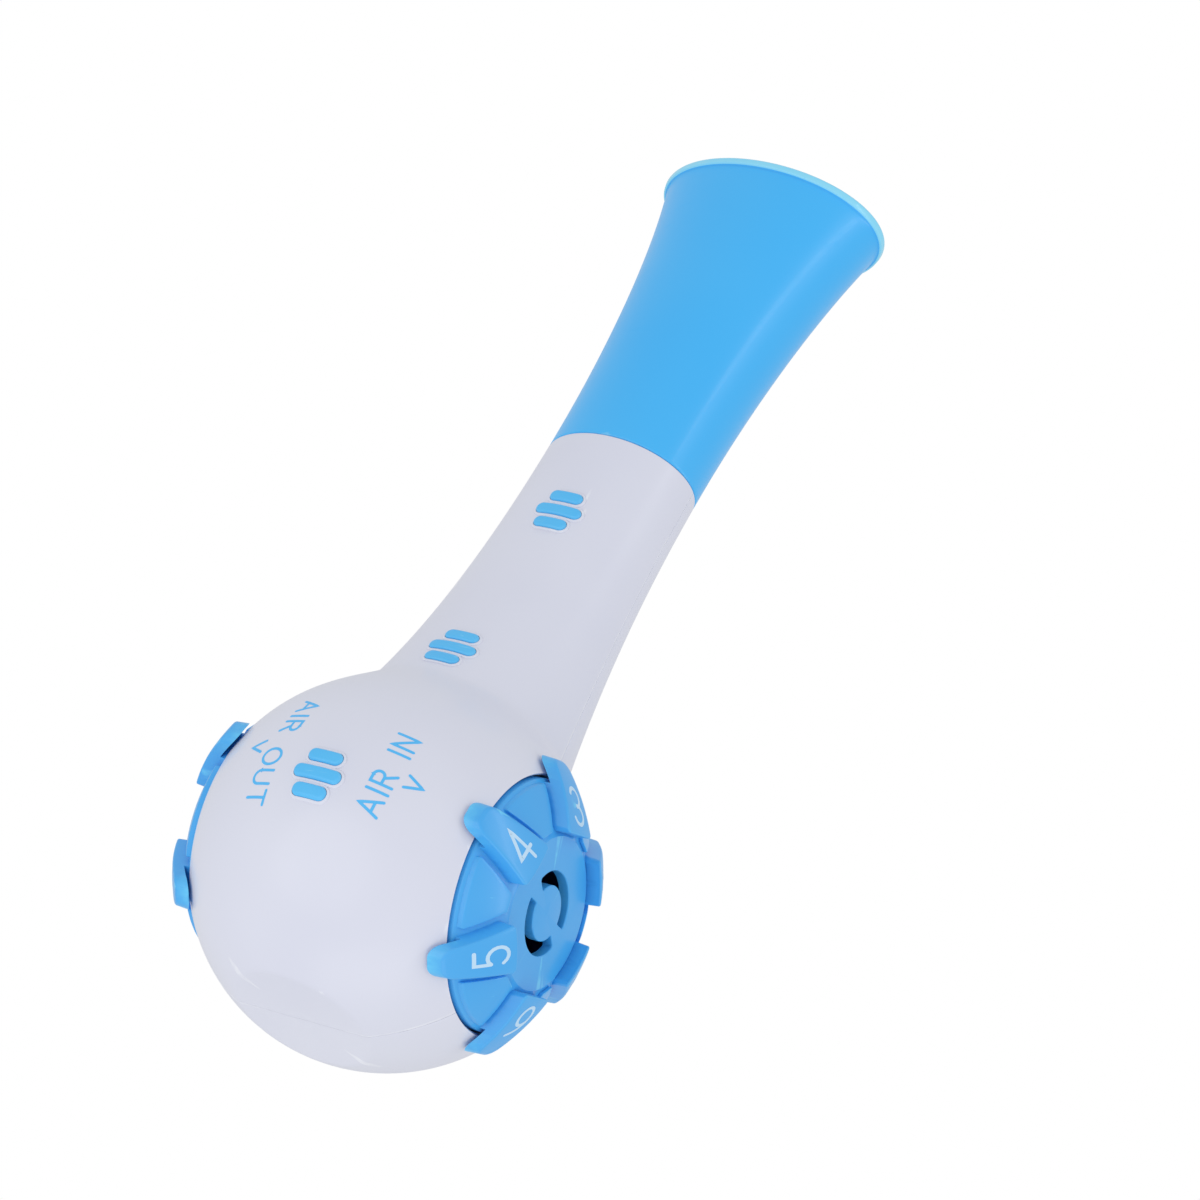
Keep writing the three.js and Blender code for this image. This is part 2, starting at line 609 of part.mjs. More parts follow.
function exhaleCentre() {
  const bore = POST.radius + RUN;
  return {
    boss: disc(bore + POST.collarWall, DISC_BOTTOM, DISC_TOP + POST.collarHeight, MEDIUM),
    hole: disc(bore, DISC_BOTTOM - OVERSHOOT, BALL_RADIUS, MEDIUM),
  };
}

function inhaleCentre() {
  const bore = PIVOT.radius + RUN;
  return {
    boss: disc(bore + POST.collarWall, DISC_BOTTOM, DISC_TOP + PIVOT.collarHeight, MEDIUM),
    hole: disc(bore, DISC_BOTTOM - OVERSHOOT, BALL_RADIUS, MEDIUM),
  };
}

const SEAL_OUTER = PORT.radius + PORT.sealPlay + PORT.sealWidth;
const PEG_RADIUS = LEAF.foot / 2 - LEAF_EYE.inset;

function plateBlank() {
  const plate = turned([
    [PLATE_RADIUS, PLATE_BOTTOM], [PLATE_RADIUS, PLATE_TOP], [PLATFORM_RADIUS, PLATE_TOP],
    [PLATFORM_RADIUS, PLATFORM_TOP],
  ]);
  const peg = disc(PEG_RADIUS, PLATE_TOP - PLATE.thickness / 4, PLATE_TOP + LEAF.height, SMALL)
    .translate([...leafFoot(), 0]);
  const cupGroove = ring(CUP.outer - CUP.wall - REST, CUP.outer + REST,
    PLATE_BOTTOM - OVERSHOOT, PLATE_BOTTOM + CUP.groove);
  const port = disc(PORT.radius, 0, DISC_BOTTOM, SMALL)
    .translate([DISC.holeCircle, 0, 0]);
  const sealPocket = disc(SEAL_OUTER + REST,
    PLATFORM_TOP + RUN - PORT.sealHeight - REST, DISC_BOTTOM, SMALL)
    .translate([DISC.holeCircle, 0, 0]);
  return cut(plate.add(peg), cupGroove, port, sealPocket);
}

const inhalePlate = () =>
  plateBlank().add(disc(PIVOT.radius, PLATE_TOP, DISC_TOP + PIVOT.rise, MEDIUM));

const exhalePlate = () =>
  plateBlank().subtract(disc(POST.radius + RUN, 0, DISC_BOTTOM, MEDIUM));

function portSeal() {
  const high = PLATFORM_TOP + RUN;
  return ring(PORT.radius + PORT.sealPlay, SEAL_OUTER, high - PORT.sealHeight, high, SMALL)
    .translate([DISC.holeCircle, 0, 0]);
}

// ---------------------------------------------------------------- detent leaf

const LEAF_RADIUS = SKIRT_INNER - RUN - LEAF.bump;

const leafFoot = () => circle(LEAF.turn - LEAF.sweep, LEAF_RADIUS - LEAF.foot / 2);

// A curved arm fixed at one end, whose nose faces the click notches in the dial's skirt.
function detentLeaf() {
  const end = THREE.MathUtils.degToRad(LEAF.turn);
  const start = THREE.MathUtils.degToRad(LEAF.turn - LEAF.sweep);
  const arm = new THREE.Shape();
  arm.absarc(0, 0, LEAF_RADIUS, start, end, false);
  arm.absarc(0, 0, LEAF_RADIUS - LEAF.thickness, end, start, true);
  arm.closePath();
  const low = PLATE_TOP + REST;
  const high = low + LEAF.height;
  const [noseX, noseY] = circle(LEAF.turn, LEAF_RADIUS - LEAF.thickness / 2);
  const nose = disc(LEAF.thickness / 2 + LEAF.bump, low, high, 10).translate([noseX, noseY, 0]);
  const [footX, footY] = leafFoot();
  const foot = disc(LEAF.foot / 2 + LEAF_EYE.wall, low, high, SMALL)
    .translate([footX, footY, 0]);
  const hole = disc(PEG_RADIUS + REST, low - OVERSHOOT, high + OVERSHOOT, SMALL)
    .translate([footX, footY, 0]);
  return joined(prism(arm, low, high, 6), nose, foot).subtract(hole);
}

// ---------------------------------------------------------------- valves

function valveCup(floorLow, hasSpider) {
  const inner = CUP.outer - CUP.wall;
  const floorHigh = floorLow + CUP.floor;
  const top = PLATE_BOTTOM + CUP.groove - REST;
  const cup = turned([
    [CUP.outer, floorLow], [CUP.outer, top], [inner, top], [inner, floorHigh],
    [CUP.seatRadius, floorHigh], [CUP.seatRadius, floorLow],
  ], true);
  if (!hasSpider) return cup;
  const guide = POPPET.stud + RUN;
  const low = floorLow + SPIDER.sunk;
  const reach = CUP.seatRadius + SPIDER.sunk;
  const spokes = [0, 60, 120].map((turn) =>
    box([-reach, -SPIDER.halfWidth, low], [reach, SPIDER.halfWidth, floorHigh])
      .rotate([0, 0, turn]));
  const hub = disc(guide + SPIDER.hubWall, low, floorHigh, SMALL);
  const bore = disc(guide, floorLow, floorHigh + OVERSHOOT, SMALL);
  return joined(cup, hub, ...spokes).subtract(bore);
}

// The four-pointed post that guides the exhale valve and shows in the middle of the well.
function starShape() {
  const shape = new THREE.Shape();
  for (let i = 0; i < 8; i += 1) {
    const [x, y] = circle(i * 45, i % 2 ? POST.waist * Math.SQRT2 : POST.radius);
    if (i === 0) shape.moveTo(x, y);
    else shape.lineTo(x, y);
  }
  shape.closePath();
  return shape;
}

const EXHALE_SEAT = EXHALE_FLOOR + CUP.floor;
const EXHALE_GASKET = EXHALE_SEAT + REST;
const EXHALE_PLATE = EXHALE_GASKET + GASKET_THICKNESS + REST;
const INHALE_GASKET = INHALE_FLOOR - REST - GASKET_THICKNESS;
const INHALE_POPPET = INHALE_GASKET - REST - POPPET.thickness;

function exhalePoppet() {
  const top = EXHALE_PLATE + POPPET.thickness;
  const plate = disc(POPPET.radius, EXHALE_PLATE, top, MEDIUM);
  const stud = disc(POPPET.stud, EXHALE_SEAT - 1, EXHALE_PLATE + 0.2, SMALL);
  return joined(plate, stud, prism(starShape(), top - 0.2, POST_TOP));
}

function inhalePoppet() {
  const plate = disc(POPPET.radius, INHALE_POPPET, INHALE_POPPET + POPPET.thickness, MEDIUM);
  const stem = disc(POPPET.stud, INHALE_POPPET + 0.2, RETAINER_BOTTOM + RETAINER.thickness / 2,
    SMALL);
  return plate.add(stem);
}

const gasket = (low) => ring(POPPET.stud + REST, POPPET.radius, low, low + GASKET_THICKNESS, MEDIUM);

function springRetainer() {
  const inner = POPPET.stud + REST;
  const low = RETAINER_BOTTOM;
  const high = low + RETAINER.thickness;
  const shell = turned([[RETAINER.radius, low], [RETAINER.radius, high - RETAINER.chamfer],
    [RETAINER.radius - RETAINER.chamfer, high]], false, MEDIUM);
  const socket = disc(inner, low - OVERSHOOT, low + RETAINER.thickness / 2 + REST, SMALL);
  return shell.subtract(socket);
}

// A cone-shaped coil of round wire between two heights.
function coil(low, high, radii) {
  const inset = SPRING.wire / 2;
  const turns = SPRING.turns;
  class Helix extends THREE.Curve {
    getPoint(t, target = new THREE.Vector3()) {
      const radius = radii.bottom + (radii.top - radii.bottom) * t;
      const [x, y] = circle(360 * turns * t, radius);
      return target.set(x, y, low + inset + (high - low - 2 * inset) * t);
    }
  }
  const wire = new THREE.Shape();
  wire.absarc(0, 0, inset, 0, Math.PI * 2, false);
  const options = { steps: 26, extrudePath: new Helix(), curveSegments: 2, bevelEnabled: false };
  return solidOf(new THREE.ExtrudeGeometry(wire, options));
}

// ---------------------------------------------------------------- assembly

function side(outward, meshes, dialMeshes, dialTurn) {
  const group = new THREE.Group();
  group.quaternion.setFromRotationMatrix(sideMatrix(outward));
  const turning = new THREE.Group();
  turning.rotation.z = THREE.MathUtils.degToRad(dialTurn);
  turning.add(...dialMeshes);
  group.add(turning, ...meshes);
  return group;
}

function inhaleSide() {
  const springLow = INHALE_FLOOR + CUP.floor + REST;
  const fixed = [
    piece("inhale_port_plate", inhalePlate(), WHITE_INNER),
    piece("inhale_port_seal", portSeal(), SILICONE),
    piece("inhale_detent_leaf", detentLeaf(), STEEL),
    piece("inhale_valve_cup", valveCup(INHALE_FLOOR, true), WHITE_INNER),
    piece("inhale_valve_poppet", inhalePoppet(), WHITE_INNER),
    piece("inhale_valve_gasket", gasket(INHALE_GASKET), SILICONE),
    piece("inhale_valve_retainer", springRetainer(), WHITE_INNER),
    piece("inhale_valve_spring", coil(springLow, RETAINER_BOTTOM - REST, INHALE_COIL), STEEL),
  ];
  const turning = [
    piece("inhale_dial", inhaleDial(), BLUE_PLASTIC),
    piece("inhale_orifice_disc",
      orificeDisc(INHALE_ORIFICES, INHALE_SETTING, inhaleCentre()), BLUE_PLASTIC),
  ];
  return side(1, fixed, turning, 0);
}

function exhaleSide() {
  const springLow = EXHALE_PLATE + POPPET.thickness + REST;
  const fixed = [
    piece("exhale_port_plate", exhalePlate(), WHITE_INNER),
    piece("exhale_port_seal", portSeal(), SILICONE),
    piece("exhale_detent_leaf", detentLeaf(), STEEL),
    piece("exhale_valve_cup", valveCup(EXHALE_FLOOR, false), WHITE_INNER),
    piece("exhale_valve_poppet", exhalePoppet(), BLUE_PLASTIC),
    piece("exhale_valve_gasket", gasket(EXHALE_GASKET), SILICONE),
    piece("exhale_valve_spring", coil(springLow, PLATE_BOTTOM - REST, EXHALE_COIL), STEEL),
  ];
  const turning = [
    piece("exhale_dial", exhaleDial(), BLUE_PLASTIC),
    piece("exhale_orifice_disc",
      orificeDisc(EXHALE_ORIFICES, EXHALE_SETTING, exhaleCentre()), BLUE_PLASTIC),
  ];
  return side(-1, fixed, turning, EXHALE_OFFSET);
}

function trainer() {
  const group = new THREE.Group();
  const body = hollowBody();
  group.add(
    piece("front_shell", frontShell(body), WHITE_SHELL),
    piece("rear_shell", rearShell(body), WHITE_SHELL),
    piece("neck_adapter", neckAdapter(), WHITE_INNER),
    piece("mouthpiece_seal", mouthpieceSeal(), SILICONE),
    piece("mouthpiece", mouthpiece(), BLUE_MOUTHPIECE),
    ...gripPads(),
    inhaleSide(),
    exhaleSide(),
  );
  group.position.z = BASE_DEPTH;
  return group;
}

export default trainer();
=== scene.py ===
"""A handheld breathing trainer in a plain studio.

Sizes inside the classes are millimetres about the ball's centre, with +Z up the stem and -Y the
front. Each dial is drawn in a frame of its own, +Z out along its axis and +X towards the front.
Every mesh is put into the row frame, in metres, when its object is made.
"""
import logging
import math
from dataclasses import dataclass, field
from enum import Enum
from typing import Callable, Iterable, Optional, Sequence

import bmesh
import bpy
import numpy as np
from mathutils import Matrix, Vector


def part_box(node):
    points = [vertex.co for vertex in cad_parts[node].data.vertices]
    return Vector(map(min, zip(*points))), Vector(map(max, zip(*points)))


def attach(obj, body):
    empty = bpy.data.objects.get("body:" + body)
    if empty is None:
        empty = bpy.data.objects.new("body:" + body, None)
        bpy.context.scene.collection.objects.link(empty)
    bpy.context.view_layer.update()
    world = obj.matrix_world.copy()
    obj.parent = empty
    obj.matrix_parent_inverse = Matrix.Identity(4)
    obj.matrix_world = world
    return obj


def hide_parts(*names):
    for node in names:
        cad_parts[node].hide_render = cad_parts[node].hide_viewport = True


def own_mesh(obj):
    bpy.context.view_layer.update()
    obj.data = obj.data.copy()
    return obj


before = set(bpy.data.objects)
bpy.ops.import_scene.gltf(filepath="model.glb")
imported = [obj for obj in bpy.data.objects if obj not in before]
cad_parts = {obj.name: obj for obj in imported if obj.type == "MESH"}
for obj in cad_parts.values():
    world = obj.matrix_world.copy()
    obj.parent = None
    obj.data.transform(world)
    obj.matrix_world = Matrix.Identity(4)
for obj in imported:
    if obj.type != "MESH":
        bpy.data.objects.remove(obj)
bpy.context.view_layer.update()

LOG = logging.getLogger("trainer")
MM = 0.001
TINY = 1e-9  # keeps a division by a length or a slope finite
STROKE_STEP = 0.4  # the longest straight part of a printed line
TWO_PI = 2 * math.pi
WELD = 1.5e-6  # metres; vertices closer than this are joined

Pair = tuple[float, float]
Array = np.ndarray
Corner = tuple[float, float, float]  # x, y and the radius that rounds it
Height = Callable[[Array, Array], Array]
Row = tuple[float, float, float]  # height, half width along X, half depth along Y
Colour = tuple[float, float, float]  # linear red, green and blue
Stroke = list[Pair]
Thing = bpy.types.Object
Material = bpy.types.Material
Socket = bpy.types.NodeSocket
Tree = bpy.types.NodeTree
View = tuple[Vector, Vector, Vector]  # the camera's right, up and backward directions


class Operation(Enum):
    """What one solid does to another."""

    JOIN = "UNION"
    CUT = "DIFFERENCE"
    KEEP = "INTERSECT"


class Half(Enum):
    """The two shells of the body, by the side of the seam they lie on."""

    FRONT = -1
    REAR = 1


class Breath(Enum):
    """The two sides of the ball, by the direction in which each dial's axis points along X."""

    INHALE = 1
    EXHALE = -1

    @property
    def word(self) -> str:
        """The word that this side's nodes and bodies start with."""
        return self.name.lower()


@dataclass
class Form:
    """A closed surface being drawn, in millimetres.

    Args:
        points: its vertices, one row each.
        faces: its faces, as tuples of vertex numbers.
    """

    points: Array
    faces: list[tuple[int, ...]]

    def moved(self, change: Callable[[Array], Array]) -> "Form":
        """A copy whose vertices have been put through a function."""
        return Form(change(self.points), list(self.faces))

    def turned(self, degrees: float) -> "Form":
        """A copy turned about its own Z axis.

        Args:
            degrees: how far, counter-clockwise.

        Returns:
            The turned copy.
        """
        angle = math.radians(degrees)
        c, s = math.cos(angle), math.sin(angle)
        return Form(self.points @ np.array([[c, s, 0], [-s, c, 0], [0, 0, 1]]), list(self.faces))

    def with_others(self, others: Iterable["Form"]) -> "Form":
        """One form that holds this one and others side by side.

        Args:
            others: the forms to add.

        Returns:
            The joint form.
        """
        points, faces = [self.points], list(self.faces)
        count = len(self.points)
        for other in others:
            faces += [tuple(i + count for i in face) for face in other.faces]
            points.append(other.points)
            count += len(other.points)
        return Form(np.concatenate(points), faces)

    def object(self, name: str, place: Matrix) -> Thing:
        """Makes the form into an object whose faces look outwards.

        Args:
            name: the object's name.
            place: takes the form's frame, in millimetres, to the row frame, in metres.

        Returns:
            The new object, linked to the scene.
        """
        matrix = np.array(place)
        points = self.points @ matrix[:3, :3].T + matrix[:3, 3]
        mesh = bpy.data.meshes.new(name)
        mesh.from_pydata(points.tolist(), [], self.faces)
        drawn = bmesh.new()
        drawn.from_mesh(mesh)
        bmesh.ops.remove_doubles(drawn, verts=drawn.verts, dist=WELD)
        bmesh.ops.dissolve_degenerate(drawn, edges=drawn.edges, dist=WELD)
        loose = [edge for edge in drawn.edges if not edge.link_faces]
        bmesh.ops.delete(drawn, geom=loose, context="EDGES")
        bmesh.ops.recalc_face_normals(drawn, faces=drawn.faces)
        drawn.to_mesh(mesh)
        drawn.free()
        thing = bpy.data.objects.new(name, mesh)
        bpy.context.scene.collection.objects.link(thing)
        return thing


def grid_faces(rows: int, columns: int, rows_meet: bool,
               columns_meet: bool) -> list[tuple[int, ...]]:
    """The four-sided faces of a grid of vertices numbered row by row.

    Args:
        rows: how many rows there are.
        columns: how many vertices each row has.
        rows_meet: whether the last row joins the first.
        columns_meet: whether each row closes on itself.

    Returns:
        The faces as tuples of vertex numbers.
    """
    faces = []
    for i in range(rows if rows_meet else rows - 1):
        for j in range(columns if columns_meet else columns - 1):
            a, b = i * columns, (i + 1) % rows * columns
            k = (j + 1) % columns
            faces.append((a + j, a + k, b + k, b + j))
    return faces


def oval_loft(rows: Sequence[Row], segments: int, tube: bool) -> Form:
    """Skins ovals about the Z axis.

    Args:
        rows: the ovals in order, up the outside and, on a tube, back down the inside.
        segments: how many vertices each oval has.
        tube: whether the last row joins the first; otherwise both ends are closed with a face.

    Returns:
        The closed form.
    """
    around = np.linspace(0, TWO_PI, segments, endpoint=False)
    data = np.array(rows, float)
    x = data[:, 1:2] * np.cos(around)
    y = data[:, 2:3] * np.sin(around)
    z = np.repeat(data[:, 0:1], segments, axis=1)
    faces = grid_faces(len(rows), segments, tube, True)
    if not tube:
        last = (len(rows) - 1) * segments
        faces.append(tuple(range(segments))[::-1])
        faces.append(tuple(range(last, last + segments)))
    return Form(np.stack([x, y, z], axis=-1).reshape(-1, 3), faces)


def rounded(corners: Sequence[Corner], steps: int = 5, spacing: float = 0.0) -> Array:
    """A closed outline whose corners are rounded with arcs.

    Args:
        corners: the outline's corners, each with the radius that rounds it.
        steps: how many parts each arc has.
        spacing: the longest straight part; zero leaves straight sides whole.

    Returns:
        The outline's points, one row each.
    """
    points: list[Array] = []
    count = len(corners)
    for i, (x, y, radius) in enumerate(corners):
        here = np.array([x, y])
        before = np.array(corners[i - 1][:2]) - here
        after = np.array(corners[(i + 1) % count][:2]) - here
        a, b = before / np.linalg.norm(before), after / np.linalg.norm(after)
        half = math.acos(float(np.clip(a @ b, -1, 1))) / 2
        if radius <= 0 or half > math.radians(87) or half < 1e-3:
            points.append(here)
            continue
        room = 0.49 * min(np.linalg.norm(before), np.linalg.norm(after))
        back = min(radius / math.tan(half), room)
        bend = back * math.tan(half)
        centre = here + (a + b) / np.linalg.norm(a + b) * bend / math.sin(half)
        start, end = here + a * back - centre, here + b * back - centre
        sweep = math.pi - 2 * half
        turn = math.copysign(1.0, start[0] * end[1] - start[1] * end[0])
        for k in range(steps + 1):
            angle = turn * sweep * k / steps
            c, s = math.cos(angle), math.sin(angle)
            points.append(centre + np.array([c * start[0] - s * start[1],
                                             s * start[0] + c * start[1]]))
    outline = np.array(points)
    if spacing <= 0:
        return outline
    dense: list[Array] = []
    for here, there in zip(outline, np.roll(outline, -1, axis=0)):
        parts = max(1, math.ceil(np.linalg.norm(there - here) / spacing))
        dense += [here + (there - here) * k / parts for k in range(parts)]
    return np.array(dense)


def revolved(profile: Array, segments: int) -> Form:
    """Turns a closed profile of (radius, height) points about the Z axis."""
    return oval_loft([(z, r, r) for r, z in profile], segments, True)


def turned_solid(profile: Array, segments: int) -> Form:
    """Turns an open profile, outside upwards, about the Z axis and closes both its ends."""
    return oval_loft([(z, r, r) for r, z in profile], segments, False)


def inset(outline: Array, distance: float) -> Array:
    """An outline, counter-clockwise, moved inwards by a distance, or outwards if it is negative.

    Args:
        outline: its points, one row each.
        distance: how far it moves.

    Returns:
        The moved outline.
    """
    ahead = np.roll(outline, -1, axis=0) - outline
    ahead /= np.maximum(np.linalg.norm(ahead, axis=1, keepdims=True), TINY)
    behind = np.roll(ahead, 1, axis=0)
    inward = np.stack([-(ahead + behind)[:, 1], (ahead + behind)[:, 0]], axis=1)
    inward /= np.maximum(np.linalg.norm(inward, axis=1, keepdims=True), TINY)
    lean = np.clip(np.sum(inward * np.stack([-ahead[:, 1], ahead[:, 0]], axis=1), axis=1), 0.5, 1)
    return outline + inward * (distance / lean)[:, None]


@dataclass(frozen=True)
class Layer:
    """One level of a stacked form.

    Args:
        inset: how far the outline is moved inwards there.
        top: whether the level is measured from the top surface, or from the floor.
        offset: how far above that surface the level lies.
    """

    inset: float
    top: bool
    offset: float


STRAIGHT = (Layer(0, False, 0), Layer(0, True, 0))


def stacked(outline: Array, layers: Sequence[Layer], top: Height, floor: Height,
            rings: int = 6) -> Form:
    """A block that rises from an outline to a curved top.

    Args:
        outline: the block's outline, counter-clockwise.
        layers: the levels of its side, upwards.
        top: the height of the top surface at points (x, y).
        floor: the height of the floor at points (x, y).
        rings: how many rings of faces cover the top.

    Returns:
        The closed form.
    """
    count = len(outline)
    levels = []
    for layer in layers:
        flat = inset(outline, layer.inset)
        base = (top if layer.top else floor)(flat[:, 0], flat[:, 1])
        levels.append(np.column_stack([flat, base + layer.offset]))
    centre = outline.mean(axis=0)
    edge = levels[-1][:, :2]
    for k in range(1, rings):
        flat = centre + (edge - centre) * (1 - k / rings)
        height = top(flat[:, 0], flat[:, 1]) + layers[-1].offset
        levels.append(np.column_stack([flat, height]))
    points = np.concatenate(levels)
    faces = grid_faces(len(levels), count, False, True)
    summit, root = len(points), len(points) + 1
    middle_x, middle_y = np.array([centre[0]]), np.array([centre[1]])
    peak = float(top(middle_x, middle_y)[0]) + layers[-1].offset
    under = float(floor(middle_x, middle_y)[0]) + layers[0].offset
    points = np.vstack([points, [*centre, peak], [*centre, under]])
    last = (len(levels) - 1) * count
    faces += [(last + j, last + (j + 1) % count, summit) for j in range(count)]
    faces += [((j + 1) % count, j, root) for j in range(count)]
    return Form(points, faces)


def soft_edge(fillet: float, draft: float, steps: int = 4) -> list[Layer]:
    """The levels of a drafted side that rounds over into the top.

    Args:
        fillet: the radius of the rounded edge.
        draft: how much the foot spreads.
        steps: how many parts the rounding has.

    Returns:
        The levels, upwards.
    """
    levels = [Layer(-draft, False, 0.0)]
    for k in range(steps + 1):
        angle = math.pi / 2 * k / steps
        levels.append(Layer(fillet * (1 - math.cos(angle)), True, -fillet * (1 - math.sin(angle))))
    return levels


def level(height: float) -> Height:
    """A flat surface at one height."""
    return lambda x, y: np.full_like(x, height)


def stroke(path: Array, width: float, low: float, high: float) -> Form:
    """A printed line: a flat ribbon with round ends, drawn in the XY plane.

    Args:
        path: the points of its middle line.
        width: its width.
        low: the height of its underside.
        high: the height of its face.

    Returns:
        The closed form.
    """
    dense = [path[:1]]
    for here, there in zip(path, path[1:]):
        parts = max(1, math.ceil(np.linalg.norm(there - here) / STROKE_STEP))
        dense.append(here + (there - here) * np.arange(1, parts + 1)[:, None] / parts)
    path = np.concatenate(dense)
    ahead = np.diff(path, axis=0)
    ahead /= np.maximum(np.linalg.norm(ahead, axis=1, keepdims=True), TINY)
    before, after = np.vstack([ahead[:1], ahead]), np.vstack([ahead, ahead[-1:]])
    along = before + after
    along /= np.maximum(np.linalg.norm(along, axis=1, keepdims=True), TINY)
    lean = np.clip(np.sum(along * before, axis=1), 0.55, 1)
    caps = [(math.cos(a), math.sin(a)) for a in np.radians([80, 55, 30])]
    half = width / 2
    middles = [path[0] - ahead[0] * half * s for _, s in caps]
    across = [np.array([-ahead[0][1], ahead[0][0]]) * half * c for c, _ in caps]
    for point, direction, share in zip(path, along, lean):
        middles.append(point)
        across.append(np.array([-direction[1], direction[0]]) * half / share)
    for c, s in reversed(caps):
        middles.append(path[-1] + ahead[-1] * half * s)
        across.append(np.array([-ahead[-1][1], ahead[-1][0]]) * half * c)
    middle, side = np.array(middles), np.array(across)
    count = len(middle)
    ring = [
        np.column_stack([middle + side, np.full(count, low)]),
        np.column_stack([middle - side, np.full(count, low)]),
        np.column_stack([middle - side, np.full(count, high)]),
        np.column_stack([middle + side, np.full(count, high)]),
    ]
    points = np.stack(ring, axis=1).reshape(-1, 3)
    faces = grid_faces(count, 4, False, True)
    last = (count - 1) * 4
    faces += [(3, 2, 1, 0), (last, last + 1, last + 2, last + 3)]
    return Form(points, faces)


def closed(thing: Thing) -> bool:
    """Whether every edge of an object's mesh lies between two faces.

    Args:
        thing: the object.

    Returns:
        True if the mesh is closed.
    """
    drawn = bmesh.new()
    drawn.from_mesh(thing.data)
    whole = all(edge.is_manifold for edge in drawn.edges)
    drawn.free()
    return whole


def apply_modifiers(thing: Thing) -> None:
    """Puts the result of an object's modifiers into its mesh and removes them.

    Args:
        thing: the object.
    """
    shapes = bpy.context.evaluated_depsgraph_get()
    made = bpy.data.meshes.new_from_object(thing.evaluated_get(shapes))
    thing.modifiers.clear()
    old, thing.data = thing.data, made
    made.name = thing.name
    bpy.data.meshes.remove(old)


def combine(target: Thing, tool: Thing, operation: Operation) -> None:
    """Joins a tool to a target, cuts it away or keeps what they share, and removes the tool.

    Args:
        target: the object that is changed.
        tool: the object that changes it.
        operation: what the tool does.
    """
    change = target.modifiers.new("combine", "BOOLEAN")
    change.operation = operation.value
    change.solver = "MANIFOLD" if closed(target) and closed(tool) else "EXACT"
    change.object = tool
    before = len(target.data.vertices)
    apply_modifiers(target)
    if len(target.data.vertices) == before:
        LOG.warning("%s: %s changed nothing", target.name, tool.name)
    bpy.data.objects.remove(tool)
    if not len(target.data.polygons):
        raise ValueError(f"{target.name}: nothing was left after {operation.value}")


def shade(thing: Thing, sharpest: float = 38.0, even_flats: bool = True) -> None:
    """Shades an object smooth, with a crease where two faces turn by more than an angle.

    Args:
        thing: the object.
        sharpest: the angle, in degrees.
        even_flats: whether large flat faces keep their own direction up to their edges.
    """
    drawn = bmesh.new()
    drawn.from_mesh(thing.data)
    bmesh.ops.remove_doubles(drawn, verts=drawn.verts, dist=WELD)
    bmesh.ops.dissolve_degenerate(drawn, edges=drawn.edges, dist=WELD)
    drawn.to_mesh(thing.data)
    drawn.free()
    mesh = thing.data
    mesh.polygons.foreach_set("use_smooth", np.ones(len(mesh.polygons), bool))
    mesh.set_sharp_from_angle(angle=math.radians(sharpest))
    mesh.update()
    if even_flats:
        weigh = thing.modifiers.new("weigh", "WEIGHTED_NORMAL")
        weigh.keep_sharp = True
        apply_modifiers(thing)


def dress(thing: Thing, material: Material) -> None:
    """Gives an object one material and nothing else.

    Args:
        thing: the object.
        material: its material.
    """
    thing.data.materials.clear()
    thing.data.materials.append(material)
    thing.data.polygons.foreach_set("material_index", np.zeros(len(thing.data.polygons), np.int32))


def dress_part(thing: Thing, material: Material,
               chosen: Callable[[Array], Array]) -> None:
    """Gives some of an object's faces a second material.

    Args:
        thing: the object, which already wears its main material.
        material: the second material.
        chosen: picks faces by their centres, in millimetres about the ball's centre.
    """
    mesh = thing.data
    centres = np.empty(len(mesh.polygons) * 3)
    mesh.polygons.foreach_get("center", centres)
    to_body = np.array(row_place().inverted())
    centres = centres.reshape(-1, 3) @ to_body[:3, :3].T + to_body[:3, 3]
    mesh.materials.append(material)
    mesh.polygons.foreach_set("material_index", chosen(centres).astype(np.int32))


@dataclass
class Seat:
    """Where a finished piece belongs.

    Args:
        body: the body that it rides on.
        slot: the material slot that it takes its finish from, if it has one; not used.
        nodes: the nodes that it stands for.
    """

    body: str
    slot: Optional[str] = None
    nodes: Sequence[str] = ()

    def take(self, thing: Thing, material: Material) -> Thing:
        """Dresses a piece, puts it on its body and reports it.

        Args:
            thing: the piece.
            material: its material.

        Returns:
            The same piece.
        """
        dress(thing, material)
        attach(thing, self.body)
        if self.nodes:
            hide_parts(*self.nodes)
        LOG.info("%s: %d faces, on %s", thing.name, len(thing.data.polygons), self.body)
        return thing


